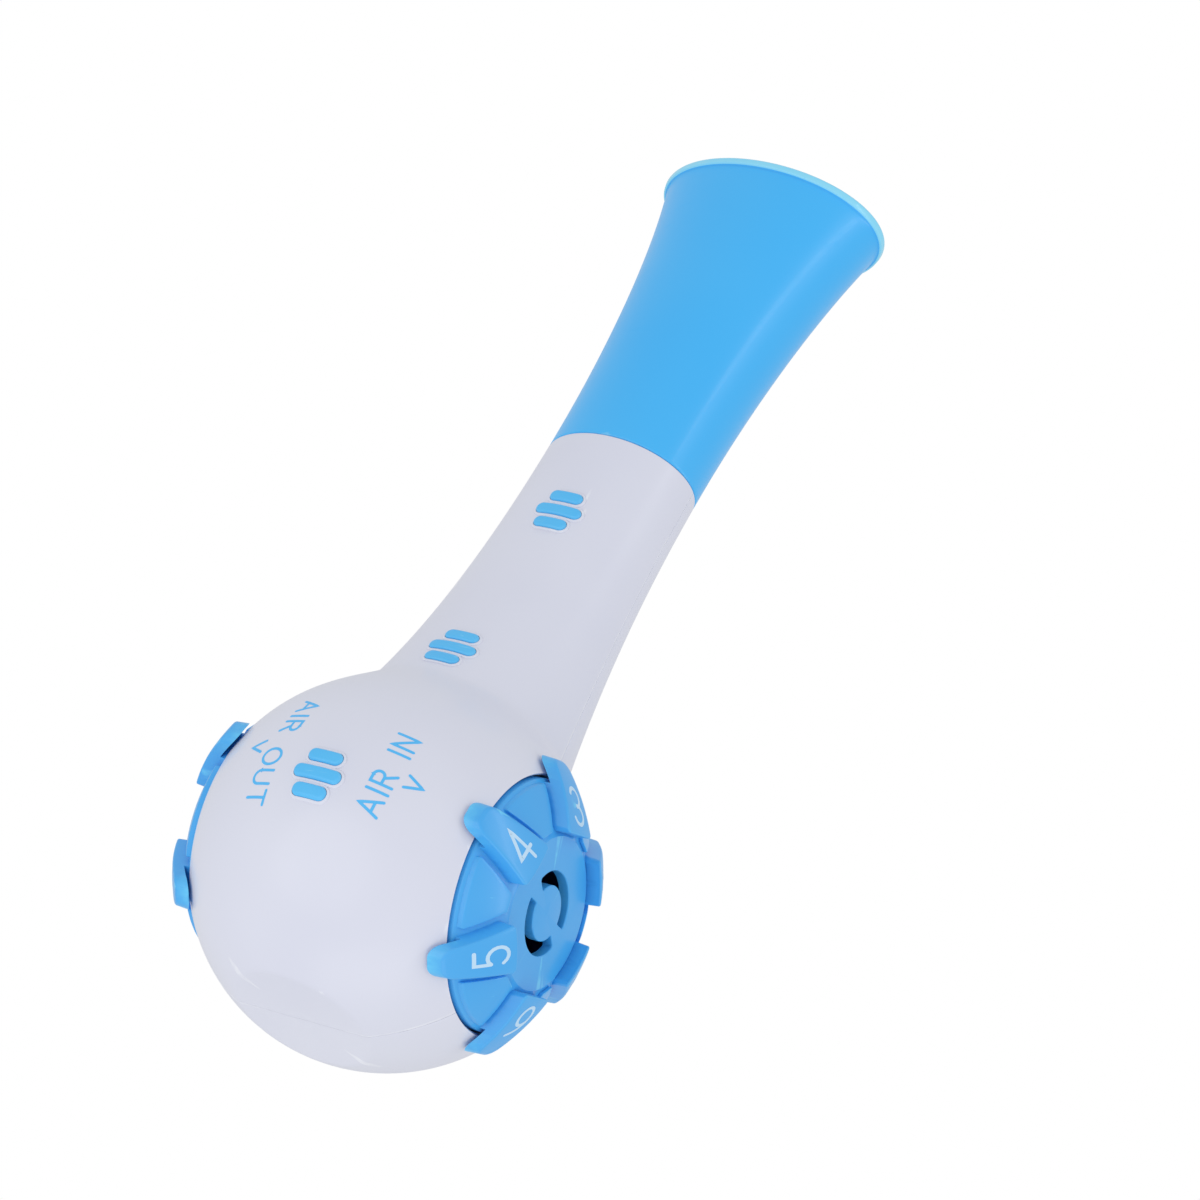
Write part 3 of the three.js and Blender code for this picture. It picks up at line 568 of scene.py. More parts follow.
class Effect:
    """A shared surface effect: a shader node group with named inputs and outputs."""

    def __init__(self, name: str, inputs: dict[str, float], outputs: Sequence[str]) -> None:
        """Starts the group.

        Args:
            name: the group's name.
            inputs: the named number inputs, with their usual values.
            outputs: the named number outputs.
        """
        self.tree = bpy.data.node_groups.new(name, "ShaderNodeTree")
        sockets = self.tree.interface
        sockets.new_socket("Vector", in_out="INPUT", socket_type="NodeSocketVector")
        for label, value in inputs.items():
            made = sockets.new_socket(label, in_out="INPUT", socket_type="NodeSocketFloat")
            made.default_value = value
        for label in outputs:
            sockets.new_socket(label, in_out="OUTPUT", socket_type="NodeSocketFloat")
        self.start = self.tree.nodes.new("NodeGroupInput")
        self.end = self.tree.nodes.new("NodeGroupOutput")

    def node(self, kind: str, **settings: object) -> bpy.types.Node:
        """Adds a node and sets its properties."""
        return add_node(self.tree, kind, **settings)

    def link(self, source: Socket, target: Socket) -> None:
        """Joins an output to an input."""
        self.tree.links.new(source, target)

    def feed(self, value: object, target: Socket) -> None:
        """Links a socket to an input, or sets the input to a number.

        Args:
            value: the socket or number.
            target: the input.
        """
        if isinstance(value, Socket):
            self.link(value, target)
        else:
            target.default_value = value

    def noise(self, scale: object, detail: float,
              stretch: Optional[Vector] = None) -> Socket:
        """Noise over the group's own coordinates.

        Args:
            scale: a number, or a socket that gives it.
            detail: how many finer octaves it holds.
            stretch: how much the coordinates are scaled along each axis first.

        Returns:
            The noise value's socket.
        """
        vector = self.start.outputs["Vector"]
        if stretch is not None:
            mapping = self.node("ShaderNodeMapping")
            mapping.inputs["Scale"].default_value = stretch
            mapping.inputs["Rotation"].default_value = (0.3, 0.5, 0.8)
            self.link(vector, mapping.inputs["Vector"])
            vector = mapping.outputs["Vector"]
        noise = self.node("ShaderNodeTexNoise")
        noise.inputs["Detail"].default_value = detail
        self.feed(scale, noise.inputs["Scale"])
        self.link(vector, noise.inputs["Vector"])
        return noise.outputs["Fac"]

    def ramp(self, source: Socket, low: float, high: float) -> Socket:
        """Stretches the stretch from low to high over 0 to 1 and clamps the rest.

        Args:
            source: the socket to read.
            low: what becomes 0.
            high: what becomes 1.

        Returns:
            The result's socket.
        """
        node = self.node("ShaderNodeMapRange", clamp=True)
        node.inputs["From Min"].default_value = low
        node.inputs["From Max"].default_value = high
        self.link(source, node.inputs["Value"])
        return node.outputs["Result"]

    def math(self, operation: str, a: object, b: object) -> Socket:
        """A math node on two sockets or numbers.

        Args:
            operation: the operation's name.
            a: the first value.
            b: the second value.

        Returns:
            The result's socket.
        """
        node = self.node("ShaderNodeMath", operation=operation)
        self.feed(a, node.inputs[0])
        self.feed(b, node.inputs[1])
        return node.outputs[0]

    def output(self, label: str, source: Socket) -> None:
        """Gives the group one of its outputs."""
        self.link(source, self.end.inputs[label])


def add_node(tree: Tree, kind: str, **settings: object) -> bpy.types.Node:
    """Adds a node of a kind to a tree and sets its properties.

    Args:
        tree: the node tree.
        kind: the node's type name.
        settings: its properties, by name.

    Returns:
        The new node.
    """
    node = tree.nodes.new(kind)
    for key, value in settings.items():
        setattr(node, key, value)
    return node


class Effects:
    """The shared effects, each built once."""

    def __init__(self) -> None:
        """Builds every group."""
        self.grain = self._grain()
        self.handling = self._handling()
        self.edges = self._edges()

    @staticmethod
    def _grain() -> Tree:
        """Moulded plastic: fine spark-eroded grain and the slow drift of tone of a thick wall.

        Returns:
            The node group.
        """
        effect = Effect("moulded_grain", {"Grain Scale": 2600.0, "Drift Scale": 34.0},
                        ("Height", "Tone"))
        fine = effect.noise(effect.start.outputs["Grain Scale"], 3.0)
        drift = effect.noise(effect.start.outputs["Drift Scale"], 2.0)
        ripple = effect.noise(90.0, 1.0)
        effect.output("Height", effect.math("ADD", fine, effect.math("MULTIPLY", ripple, 1.6)))
        effect.output("Tone", effect.ramp(drift, 0.3, 0.7))
        return effect.tree

    @staticmethod
    def _handling() -> Tree:
        """Handling: hairline scratches one way and the other, and soft finger smudges.

        Returns:
            The node group.
        """
        effect = Effect("handling_marks", {"Amount": 1.0}, ("Scratches", "Smudge"))
        first = effect.ramp(effect.noise(420.0, 2.0, Vector((0.06, 1.0, 1.0))), 0.62, 0.74)
        second = effect.ramp(effect.noise(380.0, 2.0, Vector((1.0, 0.8, 0.05))), 0.64, 0.76)
        both = effect.math("MAXIMUM", first, second)
        effect.output("Scratches", effect.math("MULTIPLY", both, effect.start.outputs["Amount"]))
        smudge = effect.ramp(effect.noise(60.0, 4.0), 0.5, 0.75)
        effect.output("Smudge", effect.math("MULTIPLY", smudge, effect.start.outputs["Amount"]))
        return effect.tree

    @staticmethod
    def _edges() -> Tree:
        """Painted light: a mask of painted highlight that is 1 on outside edges, broken up as touch
        wears them, and a mask of painted shade in inside corners.

        Returns:
            The node group.
        """
        effect = Effect("edge_polish", {"Break Scale": 500.0}, ("Edge", "Corner"))
        geometry = effect.node("ShaderNodeNewGeometry")
        # Edge: a mask for painted highlight on outside edges, broken up like wear.
        edge = effect.ramp(geometry.outputs["Pointiness"], 0.52, 0.6)
        broken = effect.ramp(effect.noise(effect.start.outputs["Break Scale"], 2.0), 0.25, 0.6)
        effect.output("Edge", effect.math("MULTIPLY", edge, broken))
        # Corner: a mask for painted shade in inside corners.
        effect.output("Corner", effect.ramp(geometry.outputs["Pointiness"], 0.48, 0.42))
        return effect.tree


@dataclass(frozen=True)
class Finish:
    """A moulded or printed surface.

    Args:
        name: the material's name.
        colour: its main colour, linear.
        drift: the colour that the thick parts drift to.
        edge: the colour of its outside edges, a painted highlight broken up like wear.
        shade: the painted shade colour of its inside corners.
        roughness: its lowest roughness.
        spread: how much the smudges and scratches add to that.
        grain_scale: how fine its grain is.
        grain_depth: how deep its grain is, in metres.
        drift_scale: how fast its tone drifts.
        coat: how much clear gloss lies over it.
        metallic: 1 for metal.
        subsurface: how much light it scatters inside.
        specular: its reflection level.
    """

    name: str
    colour: Colour
    drift: Colour
    edge: Colour
    shade: Colour
    roughness: float
    spread: float = 0.08
    grain_scale: float = 2600.0
    grain_depth: float = 4e-6
    drift_scale: float = 34.0
    coat: float = 0.0
    metallic: float = 0.0
    subsurface: float = 0.0
    specular: float = 0.5

    def material(self, effects: Effects) -> Material:
        """Builds the material.

        Args:
            effects: the shared node groups.

        Returns:
            The finished material.
        """
        made = bpy.data.materials.new(self.name)
        made.use_nodes = True
        tree = made.node_tree
        shader = tree.nodes["Principled BSDF"]
        place = add_node(tree, "ShaderNodeTexCoord").outputs["Object"]
        grain = self._group(tree, effects.grain, place)
        grain.inputs["Grain Scale"].default_value = self.grain_scale
        grain.inputs["Drift Scale"].default_value = self.drift_scale
        marks = self._group(tree, effects.handling, place)
        edges = self._group(tree, effects.edges, place)
        tone = self._mix(tree, grain.outputs["Tone"], self.colour, self.drift)
        # Painted shade darkens the inside corners, then painted highlight lightens the outside
        # edges.
        corner_shaded = self._mix(tree, edges.outputs["Corner"], tone, self.shade)
        edge_highlighted = self._mix(tree, edges.outputs["Edge"], corner_shaded, self.edge)
        tree.links.new(edge_highlighted, shader.inputs["Base Color"])
        worn = add_node(tree, "ShaderNodeMath", operation="MAXIMUM")
        tree.links.new(marks.outputs["Smudge"], worn.inputs[0])
        tree.links.new(marks.outputs["Scratches"], worn.inputs[1])
        rough = add_node(tree, "ShaderNodeMapRange")
        rough.inputs["To Min"].default_value = self.roughness
        rough.inputs["To Max"].default_value = self.roughness + self.spread
        tree.links.new(worn.outputs[0], rough.inputs["Value"])
        tree.links.new(rough.outputs["Result"], shader.inputs["Roughness"])
        bump = add_node(tree, "ShaderNodeBump")
        bump.inputs["Strength"].default_value = 1.0
        bump.inputs["Distance"].default_value = self.grain_depth
        tree.links.new(grain.outputs["Height"], bump.inputs["Height"])
        tree.links.new(bump.outputs["Normal"], shader.inputs["Normal"])
        shader.inputs["Metallic"].default_value = self.metallic
        shader.inputs["Coat Weight"].default_value = self.coat
        shader.inputs["Coat Roughness"].default_value = 0.08
        shader.inputs["Specular IOR Level"].default_value = self.specular
        if self.subsurface:
            shader.inputs["Subsurface Weight"].default_value = self.subsurface
            shader.inputs["Subsurface Radius"].default_value = (1.0, 0.9, 0.8)
            shader.inputs["Subsurface Scale"].default_value = 0.0015
        return made

    @staticmethod
    def _group(tree: Tree, group: Tree,
               place: Socket) -> bpy.types.Node:
        """Puts a shared effect into a material.

        Args:
            tree: the material's tree.
            group: the effect's group.
            place: the coordinates it is drawn over.

        Returns:
            The group node.
        """
        node = add_node(tree, "ShaderNodeGroup", node_tree=group)
        tree.links.new(place, node.inputs["Vector"])
        return node

    @staticmethod
    def _mix(tree: Tree, share: Socket, first: object,
             second: Colour) -> Socket:
        """Mixes two colours by a mask; the first may come from a socket.

        Args:
            tree: the material's tree.
            share: the mask's socket.
            first: the colour where the mask is 0.
            second: the colour where it is 1.

        Returns:
            The mixed colour's socket.
        """
        node = add_node(tree, "ShaderNodeMix", data_type="RGBA")
        tree.links.new(share, node.inputs["Factor"])
        if isinstance(first, Socket):
            tree.links.new(first, node.inputs["A"])
        else:
            node.inputs["A"].default_value = (*first, 1.0)
        node.inputs["B"].default_value = (*second, 1.0)
        return node.outputs["Result"]


def screen(red: int, green: int, blue: int) -> Colour:
    """A colour given as it shows on a screen, from 0 to 255, made linear.

    Args:
        red: the red channel.
        green: the green channel.
        blue: the blue channel.

    Returns:
        The linear colour.
    """
    def linear(value: int) -> float:
        """One channel made linear."""
        share = value / 255
        return share / 12.92 if share <= 0.04045 else ((share + 0.055) / 1.055) ** 2.4
    return linear(red), linear(green), linear(blue)


# Each finish gives its colour, a random tone drift, a painted highlight colour for its outside
# edges and a painted shade colour for its inside corners.
WHITE_SHELL = Finish("white_shell", screen(226, 228, 240), screen(221, 223, 237),
                     screen(238, 240, 248), screen(214, 215, 231), 0.3, 0.08,
                     grain_depth=1.5e-6, coat=0.03)
BLUE_MOUTHPIECE = Finish("blue_mouthpiece", screen(58, 184, 253), screen(66, 187, 253),
                         screen(110, 199, 250), screen(50, 150, 232), 0.3, 0.08, grain_depth=3e-6,
                         coat=0.1)
BLUE_DIAL = Finish("blue_dial", screen(66, 172, 242), screen(76, 176, 243), screen(104, 206, 252),
                   screen(46, 140, 214), 0.3, 0.1, grain_depth=3e-6, drift_scale=60.0, coat=0.1)
BLUE_LIP = Finish("blue_lip", screen(134, 222, 254), screen(140, 224, 254), screen(166, 232, 254),
                  screen(92, 190, 248), 0.26, 0.08, grain_depth=3e-6, coat=0.2)
# Painted shade: dark navy for the faces inside the closed inhale hub and for the inhale disc below
# them, where hardly any light comes.
NAVY_PAINTED_SHADE = Finish("blue_dial_painted_shade", screen(16, 34, 92), screen(14, 28, 80), screen(40, 84, 160),
              screen(8, 16, 50), 0.35, 0.1, grain_depth=3e-6)
BLUE_PAD = Finish("blue_pad", screen(80, 190, 250), screen(88, 194, 250), screen(126, 210, 252),
                  screen(60, 160, 228), 0.38, 0.08, grain_depth=4e-6, drift_scale=120.0)
BLUE_PRINT = Finish("blue_print", screen(84, 190, 250), screen(92, 194, 250), screen(84, 190, 250),
                    screen(84, 190, 250), 0.45, 0.1, grain_scale=5200.0, grain_depth=2e-6)
WHITE_PRINT = Finish("white_print", screen(196, 228, 251), screen(186, 223, 250),
                     screen(196, 228, 251), screen(180, 218, 248), 0.45, 0.1, grain_scale=5200.0,
                     grain_depth=2e-6)
WHITE_INNER = Finish("white_inner", screen(240, 241, 245), screen(234, 236, 242),
                     screen(250, 250, 252), screen(214, 217, 228), 0.42, 0.12, grain_depth=4e-6)
SILICONE = Finish("silicone", screen(206, 214, 222), screen(198, 208, 217), screen(224, 230, 236),
                  screen(180, 190, 200), 0.55, 0.12, grain_depth=6e-6, subsurface=0.2,
                  specular=0.35)
SPRING_STEEL = Finish("spring_steel", screen(190, 193, 198), screen(178, 182, 188),
                      screen(224, 226, 230), screen(120, 124, 130), 0.22, 0.18, grain_scale=4000.0,
                      grain_depth=3e-6, metallic=1.0)


@dataclass
class Wardrobe:
    """Every material of the object, by its finish's name."""

    effects: Effects = field(default_factory=Effects)
    made: dict[str, Material] = field(default_factory=dict)

    def get(self, finish: Finish) -> Material:
        """The material of a finish, built the first time that it is asked for.

        Args:
            finish: the finish.

        Returns:
            Its material.
        """
        if finish.name not in self.made:
            self.made[finish.name] = finish.material(self.effects)
        return self.made[finish.name]


def row_place() -> Matrix:
    """Takes millimetres about the ball's centre to the row frame."""
    low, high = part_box("inhale_dial")
    return Matrix.Translation((0, 0, (low.z + high.z) / 2)) @ Matrix.Scale(MM, 4)


def side_place(breath: Breath) -> Matrix:
    """Takes a dial's own frame, in millimetres, to the row frame.

    Args:
        breath: the side.

    Returns:
        The matrix.
    """
    out = Vector((breath.value, 0, 0))
    front = Vector((0, -1, 0))
    basis = Matrix((front, out.cross(front), out)).transposed().to_4x4()
    return row_place() @ basis


@dataclass(frozen=True)
class BodyShape:
    """The ball and the stem, whose sections are ovals."""

    ball: float = 28.5
    base: float = 26.4
    base_fillet: float = 3.0
    stem_top: float = 77.8
    stem_half: Pair = (12.7, 9.85)
    neck_half: Pair = (15.8, 17.1)
    neck: float = 25.65
    taper: Pair = (1.9, 2.6)
    blend: float = 2.9
    wall: float = 2.0
    skin_start: float = 0.45
    stem_start: float = 46.0
    row_counts: tuple[int, int, int] = (44, 52, 26)

    def half(self, axis: int, z: float, offset: float = 0.0) -> float:
        """Half the body's width at a height.

        Args:
            axis: 0 for the width along X, 1 for the depth along Y.
            z: the height.
            offset: how far outside the body's skin.

        Returns:
            The half width.
        """
        radius = self.ball + offset
        ball = math.sqrt(max(radius * radius - z * z, 0))
        if z < self.neck / 2:
            return ball
        down = max((self.stem_top - z) / (self.stem_top - self.neck), 0)
        spread = (self.neck_half[axis] - self.stem_half[axis]) * down ** self.taper[axis]
        stem = self.stem_half[axis] + spread + offset
        share = min(max(0.5 + (stem - ball) / (2 * self.blend), 0), 1)
        return ball * (1 - share) + stem * share + self.blend * share * (1 - share)

    def front(self, x: Array, z: Array) -> Array:
        """How far the body reaches towards the front at points (x, z).

        Args:
            x: places across.
            z: heights.

        Returns:
            The distances from the stem's axis.
        """
        wide = np.array([self.half(0, v) for v in z])
        deep = np.array([self.half(1, v) for v in z])
        return deep * np.sqrt(np.maximum(1 - (x / wide) ** 2, 0))

    def base_rows(self) -> list[Row]:
        """Rows from the middle of the flat base out round its soft edge to the ball.

        Returns:
            The rows, outwards.
        """
        bend = self.base_fillet
        middle = math.sqrt((self.ball - bend) ** 2 - (self.base - bend) ** 2)
        rows = [(-self.base, r, r) for r in np.linspace(0, middle, 7)[:-1]]
        end = math.asin((self.base - bend) / (self.ball - bend))
        for k in range(9):
            angle = math.pi / 2 - (math.pi / 2 - end) * k / 8
            radius = middle + bend * math.cos(angle)
            rows.append((-self.base + bend - bend * math.sin(angle), radius, radius))
        return rows

    def skin_rows(self, offset: float = 0.0) -> list[Row]:
        """Rows up the ball and stem, from just above the base to the stem's top.

        Args:
            offset: how far outside the skin.

        Returns:
            The rows, upwards.
        """
        on_ball, on_blend, on_stem = self.row_counts
        low = -self.base + self.skin_start if offset == 0 else -self.base - offset
        start = math.asin(low / (self.ball + offset))
        crest = math.asin(self.neck / 2 / (self.ball + offset))
        heights = [(self.ball + offset) * math.sin(a) for a in np.linspace(start, crest, on_ball)]
        heights += list(np.linspace(self.neck / 2, self.stem_start, on_blend)[1:])
        heights += list(np.linspace(self.stem_start, self.stem_top, on_stem)[1:])
        return [(z, self.half(0, z, offset), self.half(1, z, offset)) for z in heights]


BODY = BodyShape()


@dataclass(frozen=True)
class SkinTest:
    """Which corners of a shell's mesh count as lying on the body's skin.

    Args:
        samples: how many heights the body's widths are worked out at.
        reach: how far off the skin a vertex may lie.
        above_base: how far above the base the skin starts.
        below_top: how far below the stem's top it ends.
        off_seam: how far from the seam a vertex lies at least.
        lean: how far a face may turn from the skin's own direction, in degrees.
    """

    samples: int = 2200
    reach: float = 0.012
    above_base: float = 0.5
    below_top: float = 0.1
    off_seam: float = 0.25
    lean: float = 9.0


SKIN = SkinTest()


def smooth_skin(thing: Thing) -> None:
    """Gives the corners that lie on the body's skin the normals of the true curve.

    Args:
        thing: a finished shell.
    """
    mesh = thing.data
    count = len(mesh.vertices)
    points = np.empty(count * 3)
    mesh.vertices.foreach_get("co", points)
    to_body = np.array(row_place().inverted())
    points = points.reshape(-1, 3) @ to_body[:3, :3].T + to_body[:3, 3]
    x, y, z = points.T
    heights = np.linspace(-BODY.base, BODY.stem_top, SKIN.samples)
    halves = [np.array([max(BODY.half(axis, v), 1e-3) for v in heights]) for axis in (0, 1)]
    wide, deep = (np.interp(z, heights, half) for half in halves)
    wider, deeper = (np.interp(z, heights, np.gradient(half, heights)) for half in halves)
    slope = np.stack([x / wide**2, y / deep**2,
                      -(x**2) * wider / wide**3 - y**2 * deeper / deep**3], axis=1)
    steep = np.linalg.norm(slope, axis=1)
    away = np.abs((x / wide) ** 2 + (y / deep) ** 2 - 1) / np.maximum(2 * steep, TINY)
    exact = slope / np.maximum(steep, TINY)[:, None]
    on_skin = (away < SKIN.reach) & (np.abs(y) > SKIN.off_seam)
    on_skin &= (z > SKIN.above_base - BODY.base) & (z < BODY.stem_top - SKIN.below_top)
    corners = np.empty(len(mesh.loops), np.int32)
    mesh.loops.foreach_get("vertex_index", corners)
    sizes = np.empty(len(mesh.polygons), np.int32)
    mesh.polygons.foreach_get("loop_total", sizes)
    faces = np.empty(len(mesh.polygons) * 3)
    mesh.polygons.foreach_get("normal", faces)
    facing = np.repeat(faces.reshape(-1, 3), sizes, axis=0)
    level_with = np.sum(facing * exact[corners], axis=1) > math.cos(math.radians(SKIN.lean))
    chosen = on_skin[corners] & level_with
    mesh.normals_split_custom_set(np.where(chosen[:, None], exact[corners], 0.0).tolist())


@dataclass(frozen=True)
class PadRow:
    """One group of three grip pads, by its name and the height of its middle."""

    name: str
    height: float


@dataclass
class Casing:
    """Both shells and the grip pads let into the front one."""

    wardrobe: Wardrobe
    seam: float = 0.05
    seam_round: float = 0.12
    top_round: float = 0.25
    opening: float = 18.65
    lip: float = 0.4
    columns: int = 120
    collar_outer: float = 21.7
    collar_low: float = 7.0
    plate_seat: tuple[float, float, float] = (20.2, 8.0, 10.6)
    flange_seat: tuple[float, float, float] = (20.2, 11.4, 13.6)
    cup_room: float = 16.8
    pad_long: float = 7.5
    pad_short: float = 5.4
    pad_width: float = 2.0
    pad_pitch: float = 2.75
    pad_proud: float = 0.66
    pad_root: float = 0.8
    bump_margin: float = 0.42
    bump_proud: float = 0.24
    bump_fillet: float = 0.2
    pad_fillet: float = 0.42
    pad_rows: tuple[PadRow, ...] = (
        PadRow("upper", 61.6), PadRow("middle", 29.6), PadRow("lower", -4.3))
    pin_places: tuple[Pair, ...] = ((4.5, -20.5), (-4.5, -20.5))
    pin_radius: float = 1.2
    pin_length: float = 5.0
    boss_wall: float = 1.3
    pin_clearance: float = 0.2
    boss_reach: float = 24.0
    flange_room: Pair = (-14.3, -11.5)
    pocket_gap: float = 0.06
    pocket_height: float = 3.0
    bump_draft: float = 0.3
    foot_depth: float = -1.0
    block_depth: float = 60.0
    block_reach: float = 120.0

    def build(self) -> None:
        """Builds and dresses every piece of the casing."""
        for half in Half:
            self.shell(half)
        for row in self.pad_rows:
            self.pads(row)

    # The two shells

    def shell(self, half: Half) -> Thing:
        """One shell with its socket rings, openings and, at the front, the pads' bumps.

        Args:
            half: which shell.

        Returns:
            The dressed shell.
        """
        name = f"{half.name.lower()}_shell"
        thing = self.half_body(half).object(name + "_skin", row_place())
        for breath in Breath:
            place = side_place(breath)
            ring = self.collar().object("ring", place)
            combine(ring, self.half_space(half).object("half", row_place()), Operation.KEEP)
            combine(thing, ring, Operation.JOIN)
            combine(thing, self.socket_cut().object("socket", place), Operation.CUT)
        for place in self.pin_places:
            self.pin(thing, half, place)
        combine(thing, self.fitting_groove().object("groove", row_place()), Operation.CUT)
        if half is Half.FRONT:
            bump = (self.bump_margin, self.bump_proud, self.foot_depth, self.bump_fillet,
                    self.bump_draft)
            pocket = (self.pocket_gap, self.pocket_height, self.foot_depth, 0.05, 0.0)
            for sizes, operation in ((bump, Operation.JOIN), (pocket, Operation.CUT)):
                for row in self.pad_rows:
                    for i in range(3):
                        block = self.pad_form(row, i, *sizes).object("block", row_place())
                        combine(thing, block, operation)
        shade(thing, 30, False)
        smooth_skin(thing)
        return Seat("casing", "white_shell", [name]).take(thing, self.wardrobe.get(WHITE_SHELL))

    def half_body(self, half: Half) -> Form:
        """Half of the hollow ball and stem, with softened edges along the seam.

        Args:
            half: which half.

        Returns:
            The closed half.
        """
        outer = BODY.base_rows() + BODY.skin_rows()[:-1]
        top, wall = BODY.stem_top, BODY.wall
        wide, deep = BODY.half(0, top), BODY.half(1, top)
        for k in range(5):
            angle = math.pi / 2 * k / 4
            lost = self.top_round * (1 - math.cos(angle))
            outer.append((top - self.top_round * (1 - math.sin(angle)), wide - lost, deep - lost))
        inner = BODY.skin_rows(-wall)[::-1]
        inner.append((wall - BODY.base, 0.0, 0.0))
        rows = [self.seam_row(row, 1.0) for row in outer]
        rows += [self.seam_row(row, -1.0) for row in inner]
        columns = len(rows[0])
        points = np.concatenate(rows)
        points[:, 1] *= -half.value
        faces = grid_faces(len(rows), columns, False, False)
        first = [i * columns for i in range(len(rows))]
        last = [i * columns + columns - 1 for i in range(len(rows))]
        faces.append(tuple(first + last[::-1]))
        return Form(points, faces)

    def seam_row(self, row: Row, outward: float) -> Array:
        """Half an oval towards the front, whose two ends round over into the seam.

        Args:
            row: the oval.
            outward: 1 on the outer skin, -1 on the inner.

        Returns:
            The points, one row each.
        """
        z, wide, deep = row
        gap, bend = self.seam / 2, min(self.seam_round, deep / 4)
        steps = [math.pi / 2 * k / 3 for k in range(3, 0, -1)]
        ends = [(gap + bend * (1 - math.sin(a)), bend * (1 - math.cos(a)) * outward) for a in steps]
        start = math.asin(min((gap + bend) / max(deep, 1e-6), 1.0))
        points = []
        for y, lost in ends:
            share = min(y / max(deep, 1e-6), 1.0)
            points.append((max(wide * math.sqrt(1 - share * share) - lost, 0.0), -y, z))
        body = [(wide * math.cos(a), -max(deep * math.sin(a), gap), z)
                for a in np.linspace(start, math.pi - start, self.columns)]
        mirrored = [(-x, y, z) for x, y, _ in reversed(points)]
        return np.array(points + body + mirrored)

    def half_space(self, half: Half) -> Form:
        """A block that holds everything on one side of the seam.

        Args:
            half: which side.

        Returns:
            The block.
        """
        near, far, reach = self.seam / 2, self.block_depth, self.block_reach
        outline = rounded([(-reach, near, 0), (reach, near, 0), (reach, far, 0), (-reach, far, 0)])
        block = stacked(outline, STRAIGHT, level(reach), level(-reach), 2)
        return block.moved(lambda p: p * np.array([1, half.value, 1]))

    def collar(self) -> Form:
        """The socket ring inside the ball that holds a side's plate and dial.

        Returns:
            The ring.
        """
        top = math.sqrt((BODY.ball - BODY.wall / 2) ** 2 - self.collar_outer ** 2)
        inner = self.opening - 1
        return revolved(rounded([
            (self.collar_outer, self.collar_low, 0.3), (self.collar_outer, top, 0),
            (inner, top, 0), (inner, self.collar_low, 0.3)]), 120)

    def socket_cut(self) -> Form:
        """The room for a side's dial, plate and cup, with a soft lip at the ball's skin.

        Returns:
            The room, as a solid to cut away.
        """
        bend = self.lip
        reach = self.opening + bend
        middle = math.sqrt((BODY.ball - bend) ** 2 - reach ** 2)
        turn = math.atan2(middle, reach) * 0.93
        arc = [(reach - bend * math.cos(turn * k / 6), middle + bend * math.sin(turn * k / 6))
               for k in range(7)]
        plate, flange = self.plate_seat, self.flange_seat
        profile = [
            (self.cup_room, self.collar_low - 1), (self.cup_room, plate[1]), (plate[0], plate[1]),
            (plate[0], plate[2]), (self.opening, plate[2]), (self.opening, flange[1]),
            (flange[0], flange[1]), (flange[0], flange[2]), (self.opening, flange[2]),
            *arc, (arc[-1][0] + 3, arc[-1][1] + 4), (arc[-1][0] + 3, BODY.ball + 4)]
        return turned_solid(np.array(profile), 180)

    def fitting_groove(self) -> Form:
        """The room inside the stem for the flange of the mouthpiece's fitting.

        Returns:
            The room, as a solid to cut away.
        """
        low, high = self.flange_room
        wide, deep = (half - BODY.wall + 1 for half in BODY.stem_half)
        return oval_loft([(BODY.stem_top + z, wide, deep) for z in (low, high)], 120, False)

    def pin(self, thing: Thing, half: Half, where: Pair) -> None:
        """Adds an alignment pin's boss and pin at the front, or its boss and socket at the rear.

        Args:
            thing: the shell.
            half: which shell it is.
            where: the pin's place (x, z).
        """
        def along_y(radius: float, low: float, high: float) -> Thing:
            """A round bar along Y.

            Args:
                radius: its radius.
                low: where it starts.
                high: where it ends.

            Returns:
                The bar as an object.
            """
            bend = 0.2
            profile = [(radius - bend, low), (radius, low + bend), (radius, high - bend),
                       (radius - bend, high)]
            form = turned_solid(np.array(profile), 40)
            return form.moved(lambda p: np.column_stack(
                [p[:, 0] + where[0], p[:, 2], p[:, 1] + where[1]])).object("pin", row_place())
        inside = oval_loft(BODY.skin_rows(-BODY.wall / 2), 90, False)
        boss_end = (self.seam / 2) * half.value
        low, high = sorted((boss_end, self.boss_reach * half.value))
        boss = along_y(self.pin_radius + self.boss_wall, low, high)
        combine(boss, inside.object("inside", row_place()), Operation.KEEP)
        combine(thing, boss, Operation.JOIN)
        if half is Half.FRONT:
            combine(thing, along_y(self.pin_radius, -1, self.pin_length), Operation.JOIN)
        else:
            gap = self.pin_clearance
            socket = along_y(self.pin_radius + gap, -1, self.pin_length + 2 * gap)
            combine(thing, socket, Operation.CUT)

    # The pads

    def pad_form(self, row: PadRow, index: int, margin: float, proud: float, root: float,
                 fillet: float, draft: float) -> Form:
        """A round-ended block on the front of the body.

        Args:
            row: the group that it belongs to.
            index: 0 to 2, from the top.
            margin: how much wider it is than the pad itself.
            proud: how far its face stands out from the body.
            root: where its foot lies, from the body's skin.
            fillet: the radius of its face's edge.
            draft: how much its foot spreads.

        Returns:
            The closed form, about the ball's centre.
        """
        length = (self.pad_long if index == 1 else self.pad_short) + 2 * margin
        width = self.pad_width + 2 * margin
        radius = width / 2 - 1e-3
        outline = rounded([
            (-length / 2, -width / 2, radius), (length / 2, -width / 2, radius),
            (length / 2, width / 2, radius), (-length / 2, width / 2, radius)], 10, 0.5)
        middle = row.height + (1 - index) * self.pad_pitch

        def skin(offset: float) -> Height:
            """The body's front, moved out by an offset."""
            return lambda x, y: BODY.front(x, y + middle) + offset
        block = stacked(outline, soft_edge(fillet, draft), skin(proud), skin(root), 5)
        return block.moved(lambda p: np.column_stack([p[:, 0], -p[:, 2], p[:, 1] + middle]))

